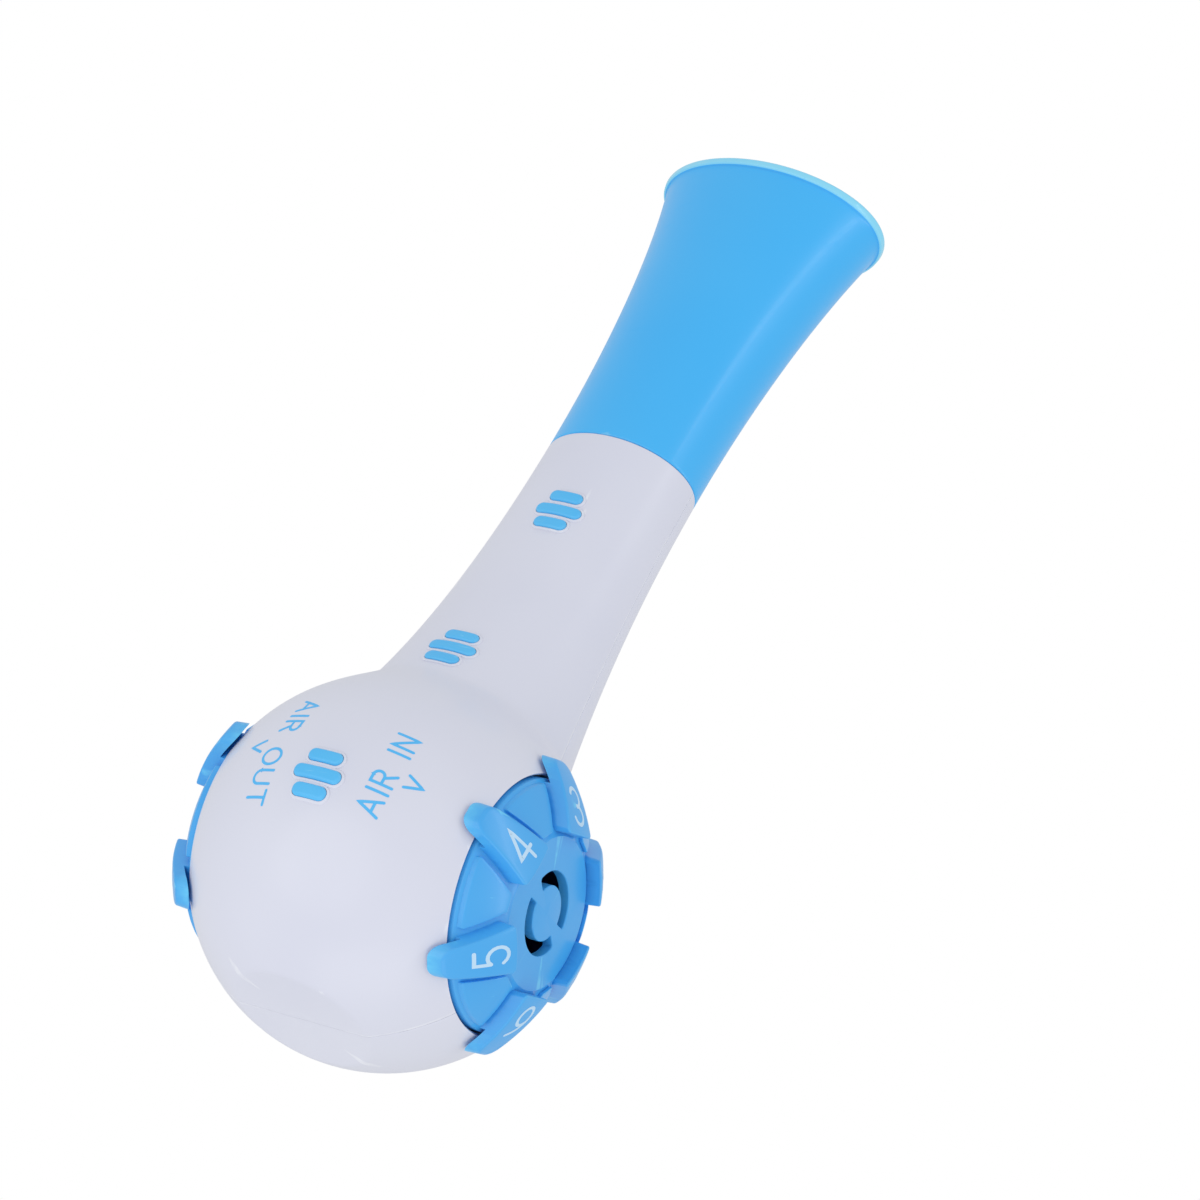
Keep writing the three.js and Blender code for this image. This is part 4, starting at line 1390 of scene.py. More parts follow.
    def pads(self, row: PadRow) -> None:
        """The three pads of one group.

        Args:
            row: the group.
        """
        for i in range(3):
            node = f"grip_pad_{row.name}_{i + 1}"
            form = self.pad_form(row, i, 0.0, self.pad_proud, -self.pad_root,
                                 self.pad_fillet, 0.0)
            thing = form.object(node + "_inlay", row_place())
            shade(thing)
            Seat("casing", "blue_pad", [node]).take(thing, self.wardrobe.get(BLUE_PAD))


@dataclass
class Mouthpiece:
    """The flared oval tube that pulls off the stem."""

    wardrobe: Wardrobe
    rim_half: Pair = (19.2, 12.4)
    flare_share: float = 0.88
    flare_powers: tuple[float, float, float] = (2.05, 6.0, 1.7)
    wall: float = 1.8
    lip_proud: float = 0.5
    lip_height: float = 1.6
    foot_gap: float = 0.07
    foot_round: float = 0.25
    socket_half: Pair = (10.9, 8.05)
    socket_top: float = 13.3
    ledge_inset: float = 1.5
    ledge_height: float = 1.4
    segments: int = 160

    def half(self, axis: int, z: float) -> float:
        """Half the mouthpiece's width along an axis at a height above the ball's centre.

        Args:
            axis: 0 for X, 1 for Y.
            z: the height.

        Returns:
            The half width.
        """
        up = max((z - BODY.stem_top) / self.length(), 0.0)
        early, late, depth = self.flare_powers
        wide = self.flare_share * up ** early + (1 - self.flare_share) * up ** late
        flare = wide if axis == 0 else up ** depth
        start = BODY.stem_half[axis]
        return start + (self.rim_half[axis] - start) * flare

    def length(self) -> float:
        """The length that shows, from the stem's top to the rim."""
        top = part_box("mouthpiece")[1].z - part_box("rear_shell")[1].z
        return top / MM

    def row(self, z: float, grow: float) -> Row:
        """An oval of the outside, grown by a distance."""
        return z, self.half(0, z) + grow, self.half(1, z) + grow

    def rows(self) -> list[Row]:
        """Every oval, up the outside, over the lip and down the inside.

        Returns:
            The rows.
        """
        foot = BODY.stem_top + self.foot_gap
        rim = BODY.stem_top + self.length()
        lip = rim - self.lip_height
        rows = []
        for k in range(4):
            angle = math.pi / 2 * k / 3
            rows.append(self.row(foot + self.foot_round * (1 - math.cos(angle)),
                                 -self.foot_round * (1 - math.sin(angle))))
        rows += [self.row(z, 0.0) for z in np.linspace(foot + 0.6, lip - 0.2, 64)]
        rows += self.lip_rows(lip, rim)
        inner_low = BODY.stem_top + self.socket_top + self.ledge_height + 2 * self.ledge_inset
        rows += [self.row(z, -self.wall) for z in np.linspace(rim - 1.4, inner_low, 40)]
        return rows + self.socket_rows(foot)

    def lip_rows(self, low: float, rim: float) -> list[Row]:
        """The rolled lip: a soft step out, a round shoulder, a crowned top and the inner edge.

        Args:
            low: where the lip starts.
            rim: where it ends.

        Returns:
            The rows.
        """
        rows = []
        for k in range(1, 5):
            share = k / 4
            eased = share * share * (3 - 2 * share)
            rows.append(self.row(low + 0.35 * share, self.lip_proud * eased))
        outer, inner = 0.75, 0.7
        for k in range(1, 8):
            angle = math.pi / 2 * k / 7
            rows.append(self.row(rim - outer * (1 - math.sin(angle)),
                                 self.lip_proud - outer * (1 - math.cos(angle))))
        for k in range(0, 6):
            angle = math.pi / 2 * k / 6
            rows.append(self.row(rim - inner * (1 - math.cos(angle)),
                                 -self.wall + inner * (1 - math.sin(angle))))
        return rows

    def socket_rows(self, foot: float) -> list[Row]:
        """The ledge and the socket that slides over the stem's fitting.

        Args:
            foot: the mouthpiece's lowest height.

        Returns:
            The rows, downwards.
        """
        wide, deep = self.socket_half
        top = BODY.stem_top + self.socket_top
        stop = self.ledge_inset
        bend = 0.25
        rows = [(top + self.ledge_height, wide - stop, deep - stop)]
        rows.append((top + bend, wide - stop, deep - stop))
        rows.append((top, wide - stop + bend, deep - stop + bend))
        rows += [(top, wide - bend, deep - bend), (top - bend, wide, deep)]
        rows += [(z, wide, deep) for z in np.linspace(top - 1, foot + 0.8, 8)]
        rows.append((foot, wide + 0.5, deep + 0.5))
        return rows

    def build(self) -> None:
        """Builds and dresses the mouthpiece."""
        thing = oval_loft(self.rows(), self.segments, True).object("mouthpiece_tube", row_place())
        shade(thing, 32)
        Seat("mouthpiece", "blue_mouthpiece", ["mouthpiece"]).take(
            thing, self.wardrobe.get(BLUE_MOUTHPIECE))
        lip = BODY.stem_top + self.length() - self.lip_height + 0.2
        dress_part(thing, self.wardrobe.get(BLUE_LIP), lambda p: p[:, 2] > lip)


@dataclass
class NeckFitting:
    """The oval tube held in the stem, and the sealing ring round it."""

    wardrobe: Wardrobe
    half: Pair = (10.4, 7.55)
    wall: float = 2.0
    below: float = 14.0
    above: float = 13.0
    flange: float = 1.0
    flange_height: float = 2.2
    groove_height: float = 6.0
    groove_width: float = 1.9
    groove_depth: float = 0.9
    seal_stand: float = 0.2
    segments: int = 120

    def oval(self, corners: Sequence[Corner], steps: int = 4) -> Form:
        """Turns a closed profile of (growth, height) corners round the oval.

        Args:
            corners: the profile.
            steps: how many parts each rounding has.

        Returns:
            The closed form.
        """
        profile = rounded(corners, steps)
        rows = [(z + BODY.stem_top, self.half[0] + g, self.half[1] + g) for g, z in profile]
        return oval_loft(rows, self.segments, True)

    def build(self) -> None:
        """Builds and dresses both pieces."""
        low, high, shelf = -self.below, self.above, self.flange_height - self.below
        groove, top = self.groove_height, self.groove_height + self.groove_width
        tube = self.oval([
            (self.flange, low, 0.2), (self.flange, shelf, 0.2), (0, shelf, 0.15), (0, groove, 0.1),
            (-self.groove_depth, groove, 0.15), (-self.groove_depth, top, 0.15), (0, top, 0.1),
            (0, high - 0.9, 0.6), (-0.6, high, 0.3),
            (-self.wall, high, 0.3), (-self.wall, low, 0.2)])
        thing = tube.object("neck_adapter_tube", row_place())
        shade(thing)
        Seat("casing", "white_inner", ["neck_adapter"]).take(thing, self.wardrobe.get(WHITE_INNER))
        low, high = groove + 0.15, top - 0.15
        ring = self.oval([(-self.groove_depth + 0.1, low, 0.5), (self.seal_stand, low, 0.7),
                          (self.seal_stand, high, 0.7), (-self.groove_depth + 0.1, high, 0.5)], 6)
        thing = ring.object("mouthpiece_seal_ring", row_place())
        shade(thing)
        Seat("casing", "silicone", ["mouthpiece_seal"]).take(thing, self.wardrobe.get(SILICONE))


def bow(centre: Pair, half: Pair, start: float, end: float, steps: int = 14) -> Stroke:
    """Pairs along part of an oval, between two angles in degrees."""
    spots = (math.radians(a) for a in np.linspace(start, end, steps))
    return [(centre[0] + half[0] * math.cos(a), centre[1] + half[1] * math.sin(a)) for a in spots]


def sweep(start: Pair, pull: Pair, end: Pair, steps: int = 10) -> Stroke:
    """Pairs along a curve that leaves one point and reaches another, pulled towards a third.

    Args:
        start: the first point.
        pull: the point that bends the curve.
        end: the last point.
        steps: how many points it has.

    Returns:
        The points.
    """
    first, middle, last = np.array(start), np.array(pull), np.array(end)
    return [tuple((1 - t) ** 2 * first + 2 * t * (1 - t) * middle + t * t * last)
            for t in np.linspace(0, 1, steps)]


CHARACTERS: dict[str, tuple[float, list[Stroke]]] = {
    "1": (0.34, [[(0.02, 0.8), (0.26, 1.0), (0.26, 0.0)]]),
    "2": (0.56, [bow((0.28, 0.72), (0.27, 0.28), 170, -38) + [(0.0, 0.0), (0.56, 0.0)]]),
    "3": (0.56, [bow((0.27, 0.75), (0.25, 0.25), 158, -90),
                 bow((0.27, 0.26), (0.28, 0.26), 90, -160)]),
    "4": (0.6, [[(0.44, 0.0), (0.44, 1.0), (0.0, 0.3), (0.6, 0.3)]]),
    "5": (0.56, [[(0.5, 1.0), (0.1, 1.0), (0.045, 0.53)],
                 bow((0.26, 0.32), (0.29, 0.32), 138, -150)]),
    "6": (0.56, [bow((0.28, 0.31), (0.27, 0.31), 0, 360, 26),
                 sweep((0.44, 1.0), (0.04, 0.76), (0.01, 0.34))]),
    "A": (0.72, [[(0.0, 0.0), (0.36, 1.0), (0.72, 0.0)], [(0.13, 0.33), (0.59, 0.33)]]),
    "I": (0.1, [[(0.05, 0.0), (0.05, 1.0)]]),
    "R": (0.58, [[(0.0, 0.0), (0.0, 1.0), (0.3, 1.0)]
                 + bow((0.3, 0.75), (0.25, 0.25), 90, -90) + [(0.0, 0.5)],
                 [(0.3, 0.5), (0.58, 0.0)]]),
    "N": (0.66, [[(0.0, 0.0), (0.0, 1.0), (0.66, 0.0), (0.66, 1.0)]]),
    "O": (0.8, [bow((0.4, 0.5), (0.4, 0.5), 0, 360, 32)]),
    "U": (0.64, [[(0.0, 1.0), (0.0, 0.32)] + bow((0.32, 0.32), (0.32, 0.32), 180, 360)
                 + [(0.64, 1.0)]]),
    "T": (0.66, [[(0.0, 1.0), (0.66, 1.0)], [(0.33, 1.0), (0.33, 0.0)]]),
    "V": (0.8, [[(0.0, 1.0), (0.4, 0.0), (0.8, 1.0)]]),
    " ": (0.42, []),
}


@dataclass
class Lettering:
    """A line of drawn characters.

    Args:
        text: the characters.
        height: the height of a capital.
        width: the width of a stroke.
        spacing: the room between characters, as a share of the height.
        thickness: how far the print stands out.
        sunk: how far it reaches into the surface.
        step: how much higher each further stroke of a character lies.
    """

    text: str
    height: float
    width: float
    spacing: float = 0.3
    thickness: float = 0.03
    sunk: float = 0.05
    step: float = 0.01

    def form(self) -> Form:
        """The characters as ribbons in the XY plane, centred on the line's middle.

        Returns:
            The print.
        """
        total = sum(CHARACTERS[c][0] for c in self.text) + self.spacing * (len(self.text) - 1)
        left = -total / 2
        ribbons = []
        for character in self.text:
            advance, strokes = CHARACTERS[character]
            for i, path in enumerate(strokes):
                points = (np.array(path) + np.array([left, -0.5])) * self.height
                face = self.thickness + i * self.step
                ribbons.append(stroke(points, self.width, -self.sunk, face))
            left += advance + self.spacing
        return ribbons[0].with_others(ribbons[1:])


def sphere(offset: float, radius: Array) -> Array:
    """The height of a ball, larger than the body's by an offset, at a distance from the axis."""
    return np.sqrt(np.maximum((BODY.ball + offset) ** 2 - radius**2, 0))


def dome(offset: float) -> Height:
    """The surface of a ball larger than the body's by an offset."""
    return lambda x, y: sphere(offset, np.hypot(x, y))


def dome_arc(offset: float, start: float, end: float, steps: int) -> list[Corner]:
    """Profile points along that ball from one distance from the axis to another."""
    return [(float(r), float(sphere(offset, r)), 0.0) for r in np.linspace(start, end, steps)]


@dataclass(frozen=True)
class DialShape:
    """The sizes that both dials share."""

    radius: float = 18.35
    flange_radius: float = 19.9
    flange: Pair = (11.7, 13.3)
    skirt_inner: float = 16.75
    groove: float = -0.1
    dome_wall: float = 1.8
    rim_round: float = 0.45
    hub_radius: float = 11.1
    hub_height: float = 26.2
    hub_wall: float = 1.6
    slot_radii: Pair = (6.13, 4.05)
    slot_half: float = 75.0
    slot_flare: float = 0.22
    well: float = 9.6
    ledge: Pair = (9.1, 15.0)
    pocket: float = 9.9
    pocket_top: float = 13.3
    tube_outer: float = 11.6
    tube_low: float = 11.1
    disc: Pair = (11.4, 13.0)
    disc_radius: float = 9.6
    key: Pair = (2.4, 0.8)
    key_gap: float = 0.3
    notch_turn: float = 150.0
    hole_circle: float = 6.6
    tab_start: float = 11.3
    tab_reach: float = 21.6
    tab_half: Pair = (3.72, 2.12)
    tab_tip: float = 1.7
    tab_top: float = 2.2
    tab_under: float = 0.6
    undercut: float = 17.95
    tab_fillet: float = 0.34
    tab_draft: float = 0.3
    panel_top: float = 0.5
    panel_fillet: float = 0.16
    panel_gap: float = 1.05
    panel_inset: float = 0.42
    segments: int = 192


DIAL = DialShape()


@dataclass
class Dial:
    """A dial of one side, its printed figures and the orifice disc keyed under it.

    Args:
        wardrobe: the materials.
        breath: the side it belongs to.
        orifices: the diameter of each hole in the disc.
        setting: the number over the pointer.
        turn: how far the dial is turned from there, in degrees.
        panel_start: how close to the axis the panels between the tabs start.
    """

    wardrobe: Wardrobe
    breath: Breath
    orifices: tuple[float, ...]
    setting: int
    turn: float
    panel_start: float
    figure_height: float = 4.7
    figure_width: float = 0.5
    figure_radius: float = 15.5

    @property
    def count(self) -> int:
        """How many settings the dial has."""
        return len(self.orifices)

    @property
    def seat(self) -> str:
        """The body that turns."""
        return f"{self.breath.word}_dial"

    def build(self) -> None:
        """Builds and dresses the dial, its figures and its disc."""
        self.dial()
        self.figures()
        self.orifice_disc()

    def around(self, form: Form, offset: float = 0.0) -> list[Form]:
        """A copy of a form at every setting."""
        return [form.turned(self.turn + (i + offset) * 360 / self.count) for i in range(self.count)]

    def dial(self) -> None:
        """The dial itself."""
        place = side_place(self.breath)
        knob = revolved(self.profile(), DIAL.segments)
        thing = knob.object(f"{self.breath.word}_dial_knob", place)
        tabs = self.around(self.tab())
        blocks = tabs[0].with_others(tabs[1:]).object("tabs", place)
        combine(blocks, self.overhang().object("overhang", place), Operation.CUT)
        panels = self.around(self.panel(), 0.5)
        combine(thing, panels[0].with_others(panels[1:]).object("panels", place), Operation.JOIN)
        combine(thing, blocks, Operation.JOIN)
        for cut in self.cuts():
            combine(thing, cut.object("cut", place), Operation.CUT)
        shade(thing, 28)
        Seat(self.seat, "blue_dial", [f"{self.breath.word}_dial"]).take(
            thing, self.wardrobe.get(BLUE_DIAL))
        # Painted shade: the faces inside the closed hub wear dark navy.
        if self.breath is Breath.INHALE:
            dress_part(thing, self.wardrobe.get(NAVY_PAINTED_SHADE), self.inside_hub)

    @staticmethod
    def inside_hub(p: Array) -> Array:
        """The faces inside a closed hub, where hardly any light comes, which wear painted shade."""
        deep = DIAL.hub_height - DIAL.hub_wall + 0.05
        return (np.abs(p[:, 0]) < deep) & (np.hypot(p[:, 1], p[:, 2]) < DIAL.pocket + 0.1)

    def profile(self) -> Array:
        """The dial's section: skirt, flange, dome, and the closed hub or the open well.

        Returns:
            The closed profile.
        """
        low, high = DIAL.flange
        inner = DIAL.groove - DIAL.dome_wall
        outside = dome_arc(DIAL.groove, DIAL.radius, DIAL.hub_radius + 0.25, 14)
        outside[0] = (*outside[0][:2], DIAL.rim_round)
        under = dome_arc(inner, DIAL.tube_outer, DIAL.skirt_inner, 8)
        corners = [(DIAL.skirt_inner, low, 0.2), (DIAL.flange_radius, low, 0.2),
                   (DIAL.flange_radius, high, 0.2), (DIAL.radius, high, 0.1), *outside,
                   *self.middle(), (DIAL.ledge[0], DIAL.ledge[1], 0.15),
                   (DIAL.ledge[0], DIAL.pocket_top, 0.0), (DIAL.pocket, DIAL.pocket_top, 0.0),
                   (DIAL.pocket, DIAL.tube_low, 0.15), (DIAL.tube_outer, DIAL.tube_low, 0.15),
                   *under]
        return rounded(corners, 5)

    def middle(self) -> list[Corner]:
        """The part of the section inside the tabs.

        Returns:
            The corners, inwards.
        """
        if self.breath is Breath.INHALE:
            top, under = DIAL.hub_height, DIAL.hub_height - DIAL.hub_wall
            return [(DIAL.hub_radius, top, 0.2), (0.0, top, 0.0), (0.0, under, 0.0),
                    (DIAL.well, under, 0.6), (DIAL.well, DIAL.ledge[1], 0.0)]
        lip = DIAL.well + 0.75
        return [*dome_arc(DIAL.groove, DIAL.hub_radius, lip, 3)[:-1],
                (DIAL.well, float(sphere(DIAL.groove, DIAL.well)), 0.7),
                (DIAL.well, DIAL.ledge[1], 0.0)]

    def tab(self) -> Form:
        """The tab over the pointer: a drafted block with a round tip and soft edges.

        Returns:
            The tab.
        """
        wide, narrow = DIAL.tab_half
        start, reach = DIAL.tab_start + DIAL.tab_draft, DIAL.tab_reach - DIAL.tab_draft
        outline = rounded([(start, -wide, 0.6), (reach, -narrow, DIAL.tab_tip),
                           (reach, narrow, DIAL.tab_tip), (start, wide, 0.6)], 8, 0.8)
        layers = soft_edge(DIAL.tab_fillet, DIAL.tab_draft, 5)
        return stacked(outline, layers, dome(DIAL.tab_top), dome(-1.0), 8)

    def overhang(self) -> Form:
        """What lies under the tips that reach past the dial's rim.

        Returns:
            The ring to cut away.
        """
        far, floor = 25.0, 9.0
        arc = dome_arc(DIAL.tab_under, far, DIAL.undercut, 12)
        section = rounded([(DIAL.undercut, floor, 0.0), (far, floor, 0.0), *arc])
        return revolved(section, DIAL.segments)

    def panel(self) -> Form:
        """The raised panel half a step round from the pointer, turned back onto it.

        Returns:
            The panel.
        """
        slope = (DIAL.tab_half[0] - DIAL.tab_half[1]) / (DIAL.tab_reach - DIAL.hub_radius)
        half, rim = math.pi / self.count, DIAL.radius - DIAL.panel_inset

        def corner(radius: float) -> float:
            """Half the angle that the panel spans at a distance from the axis."""
            across = DIAL.tab_half[0] + DIAL.tab_draft - slope * (radius - DIAL.hub_radius)
            return max(half - math.asin((across + DIAL.panel_gap) / radius), 0.03)
        wide, narrow = corner(rim), corner(self.panel_start)
        arc = [(rim * math.cos(a), rim * math.sin(a), 0.0) for a in np.linspace(-wide, wide, 7)]
        arc[0], arc[-1] = (*arc[0][:2], 0.25), (*arc[-1][:2], 0.25)
        x, y = self.panel_start * math.cos(narrow), self.panel_start * math.sin(narrow)
        outline = rounded([(x, -y, 0.22), *arc, (x, y, 0.22)], 5, 0.8)
        layers = soft_edge(DIAL.panel_fillet, 0.1)
        return stacked(outline, layers, dome(DIAL.panel_top), dome(-1.0), 7)

    def cuts(self) -> list[Form]:
        """Click notches, the slots for the disc's keys and, in a closed hub, the air slots.

        Returns:
            The solids to cut away.
        """
        low = DIAL.flange[0]
        made = []
        notch = turned_solid(np.array([(0.8, low - 1), (0.8, low + 3), (0.6, low + 3.2)]), 20)
        radius = DIAL.skirt_inner - 0.3
        for i in range(self.count):
            angle = math.radians(DIAL.notch_turn + self.turn + i * 360 / self.count)
            shift = np.array([radius * math.cos(angle), radius * math.sin(angle), 0.0])
            made.append(notch.moved(lambda p, shift=shift: p + shift))
        reach = DIAL.disc_radius + DIAL.key[1] + DIAL.key_gap
        half = DIAL.key[0] / 2 + DIAL.key_gap
        key = stacked(rounded([(-reach, -half, 0.2), (reach, -half, 0.2), (reach, half, 0.2),
                               (-reach, half, 0.2)]),
                      STRAIGHT, level(DIAL.disc[1] + DIAL.key_gap), level(8.0), 2)
        made.append(key.turned(self.turn))
        if self.breath is Breath.INHALE:
            made += [self.crescent().turned(self.turn + side) for side in (90, 270)]
        return made

    def crescent(self) -> Form:
        """An air slot on the pointer's side of the hub, flared where it meets the hub's face.

        Returns:
            The slot, as a solid to cut away.
        """
        outer, inner = DIAL.slot_radii
        half = math.radians(DIAL.slot_half)
        arcs = [(outer, -half, half), (inner, half, -half)]
        corners = [(r * math.cos(a), r * math.sin(a), 0.0) for r, start, end in arcs
                   for a in np.linspace(start, end, 25)]
        for i in (0, 24, 25, 49):
            corners[i] = (*corners[i][:2], 0.3)
        bend, top = DIAL.slot_flare, DIAL.hub_height
        layers = [Layer(0, False, 0), Layer(0, True, -bend)]
        for k in range(1, 5):
            angle = math.pi / 2 * k / 4
            layers.append(Layer(-bend * (1 - math.cos(angle)), True, bend * (math.sin(angle) - 1)))
        layers.append(Layer(-bend, True, 1.0))
        outline = rounded(corners, 4)
        count = len(outline)
        block = stacked(outline, layers, level(top), level(top - DIAL.hub_wall - 1), 1)
        body = block.points[:-2]
        faces = grid_faces(len(layers), count, False, True)
        last = (len(layers) - 1) * count
        faces += [tuple(range(count))[::-1], tuple(range(last, last + count))]
        return Form(body, faces)

    def figures(self) -> None:
        """The number printed on each tab."""
        surface = dome(DIAL.tab_top)
        numbers = []
        for i in range(self.count):
            number = str((self.setting - 1 + i) % self.count + 1)
            flat = Lettering(number, self.figure_height, self.figure_width).form()

            def onto_tab(p: Array) -> Array:
                """Lays flat points on the tab, their foot towards the axis."""
                x, y = self.figure_radius + p[:, 1], -p[:, 0]
                return np.column_stack([x, y, surface(x, y) + p[:, 2]])
            numbers.append(flat.moved(onto_tab).turned(self.turn + i * 360 / self.count))
        thing = numbers[0].with_others(numbers[1:]).object(
            f"{self.breath.word}_dial_figures", side_place(self.breath))
        shade(thing, 50)
        Seat(self.seat).take(thing, self.wardrobe.get(WHITE_PRINT))

    def orifice_disc(self) -> None:
        """The disc under the dial, with a hole of its own size for each setting."""
        place = side_place(self.breath)
        low, top = DIAL.disc
        bore, rise = (2.0, 0.4) if self.breath is Breath.INHALE else (2.8, 1.2)
        collar = bore + 1.1
        profile = rounded([
            (bore, low, 0.1), (DIAL.disc_radius, low, 0.15), (DIAL.disc_radius, top, 0.15),
            (collar + 0.2, top, 0.2), (collar, top + rise, 0.25), (bore, top + rise, 0.25)], 4)
        thing = revolved(profile, 128).object(f"{self.breath.word}_orifice_disc_plate", place)
        half, reach = DIAL.key[0] / 2, DIAL.disc_radius + DIAL.key[1]
        for side in (0, 180):
            key = stacked(rounded([(DIAL.disc_radius - 0.6, -half, 0), (reach, -half, 0.3),
                                   (reach, half, 0.3), (DIAL.disc_radius - 0.6, half, 0)]),
                          STRAIGHT, level(top), level(low), 2)
            combine(thing, key.turned(self.turn + side).object("key", place), Operation.JOIN)
        for i, diameter in enumerate(self.orifices):
            angle = math.radians(self.turn + (i + 1 - self.setting) * 360 / self.count)
            shift = DIAL.hole_circle * np.array([math.cos(angle), math.sin(angle), 0])
            r, bend = diameter / 2, 0.18
            hole = turned_solid(np.array([
                (r, low - 1), (r, top - bend), (r + bend * 0.3, top - bend * 0.3),
                (r + bend, top), (r + bend, top + 0.02)]), 48)
            ring = revolved(rounded([(r + 0.55, top - 0.14, 0.05), (r + 0.85, top - 0.14, 0.05),
                                     (r + 0.9, top + 1, 0), (r + 0.5, top + 1, 0)], 3), 48)
            for form in (hole, ring):
                moved = form.moved(lambda p, shift=shift: p + shift)
                combine(thing, moved.object("hole", place), Operation.CUT)
        shade(thing)
        # The inhale disc lies in the closed hub's shade and wears painted shade, dark navy.
        finish = NAVY_PAINTED_SHADE if self.breath is Breath.INHALE else BLUE_DIAL
        Seat(self.seat, "blue_dial", [f"{self.breath.word}_orifice_disc"]).take(
            thing, self.wardrobe.get(finish))


@dataclass
class ExhaleGuide:
    """The exhale valve's plate and the fluted star post that shows in the middle of the well."""

    wardrobe: Wardrobe
    plate_radius: float = 6.6
    plate: Pair = (4.3, 5.5)
    stud: Pair = (1.2, 2.2)
    tip: float = 2.5
    waist: float = 1.3
    top: float = 23.5

    def build(self) -> None:
        """Builds and dresses the plate, its stud and its post as one moulding."""
        place = side_place(Breath.EXHALE)
        low, high = self.plate
        thing = turned_solid(np.array([
            (self.stud[0] - 0.2, self.stud[1]), (self.stud[0], self.stud[1] + 0.2),
            (self.stud[0], low),
            (self.plate_radius - 0.2, low), (self.plate_radius, low + 0.2),
            (self.plate_radius, high - 0.2), (self.plate_radius - 0.2, high)]), 96
            ).object("exhale_valve_poppet_post", place)
        combine(thing, self.post().object("post", place), Operation.JOIN)
        shade(thing, 30)
        Seat("exhale_valve", "blue_dial", ["exhale_valve_poppet"]).take(
            thing, self.wardrobe.get(BLUE_DIAL))

    def post(self) -> Form:
        """The post: four blunt points with hollows between them, softened at the top.

        Returns:
            The post.
        """
        corners = []
        for i in range(8):
            radius, bend = (self.tip, 0.3) if i % 2 == 0 else (self.waist, 0.6)
            angle = math.pi / 4 * i
            corners.append((radius * math.cos(angle), radius * math.sin(angle), bend))
        outline = rounded(corners, 6)
        foot = level(self.plate[1] - 0.2)
        return stacked(outline, soft_edge(0.3, 0.0, 4), level(self.top), foot, 3)


@dataclass
class ConeSpring:
    """The cone spring of one valve.

    Args:
        wardrobe: the materials.
        breath: the side it belongs to.
        span: where it starts and ends along the dial's axis.
        radii: the middle radius of its first and last turn.
        held: where the end that stays still lies; not used.
        lift: how far the valve lifts; not used.
    """

    wardrobe: Wardrobe
    breath: Breath
    span: Pair
    radii: Pair
    held: float
    lift: float = 1.2
    wire: float = 0.25
    turns: float = 2.2
    steps: int = 150
    sides: int = 14

    def build(self) -> None:
        """Builds and dresses the spring and gives it a mesh of its own."""
        place = side_place(self.breath)
        thing = self.coil().object(f"{self.breath.word}_valve_spring_coil", place)
        shade(thing)
        Seat("casing", "spring_steel", [f"{self.breath.word}_valve_spring"]).take(
            thing, self.wardrobe.get(SPRING_STEEL))
        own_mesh(thing)

    def coil(self) -> Form:
        """The wire, wound from the first radius to the last.

        Returns:
            The closed wire.
        """
        low, high = self.span
        rings = []
        around = np.linspace(0, TWO_PI, self.sides, endpoint=False)
        for share in np.linspace(0, 1, self.steps):
            angle = TWO_PI * self.turns * share
            out = np.array([math.cos(angle), math.sin(angle), 0.0])
            radius = self.radii[0] + (self.radii[1] - self.radii[0]) * share
            height = low + self.wire + (high - low - 2 * self.wire) * share
            centre = out * radius + np.array([0, 0, height])
            rings.append(centre + self.wire * (np.cos(around)[:, None] * out
                                               + np.sin(around)[:, None] * np.array([0, 0, 1.0])))
        faces = grid_faces(self.steps, self.sides, False, True)
        last = (self.steps - 1) * self.sides
        faces += [tuple(range(self.sides))[::-1], tuple(range(last, last + self.sides))]
        return Form(np.concatenate(rings), faces)


@dataclass
class HiddenWorks:
    """The pieces inside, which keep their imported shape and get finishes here."""

    wardrobe: Wardrobe
    finishes: tuple[tuple[str, Finish], ...] = (
        ("port_plate", WHITE_INNER), ("port_seal", SILICONE), ("detent_leaf", SPRING_STEEL),
        ("valve_cup", WHITE_INNER), ("valve_gasket", SILICONE), ("valve_retainer", WHITE_INNER),
        ("valve_poppet", WHITE_INNER))

    def build(self) -> None:
        """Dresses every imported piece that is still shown."""
        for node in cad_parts:
            thing = bpy.data.objects.get(node)
            if thing is None or thing.hide_render:
                continue
            for ending, finish in self.finishes:
                if node.endswith(ending):
                    dress(thing, self.wardrobe.get(finish))
                    LOG.info("%s: keeps its shape, %s", node, finish.name)


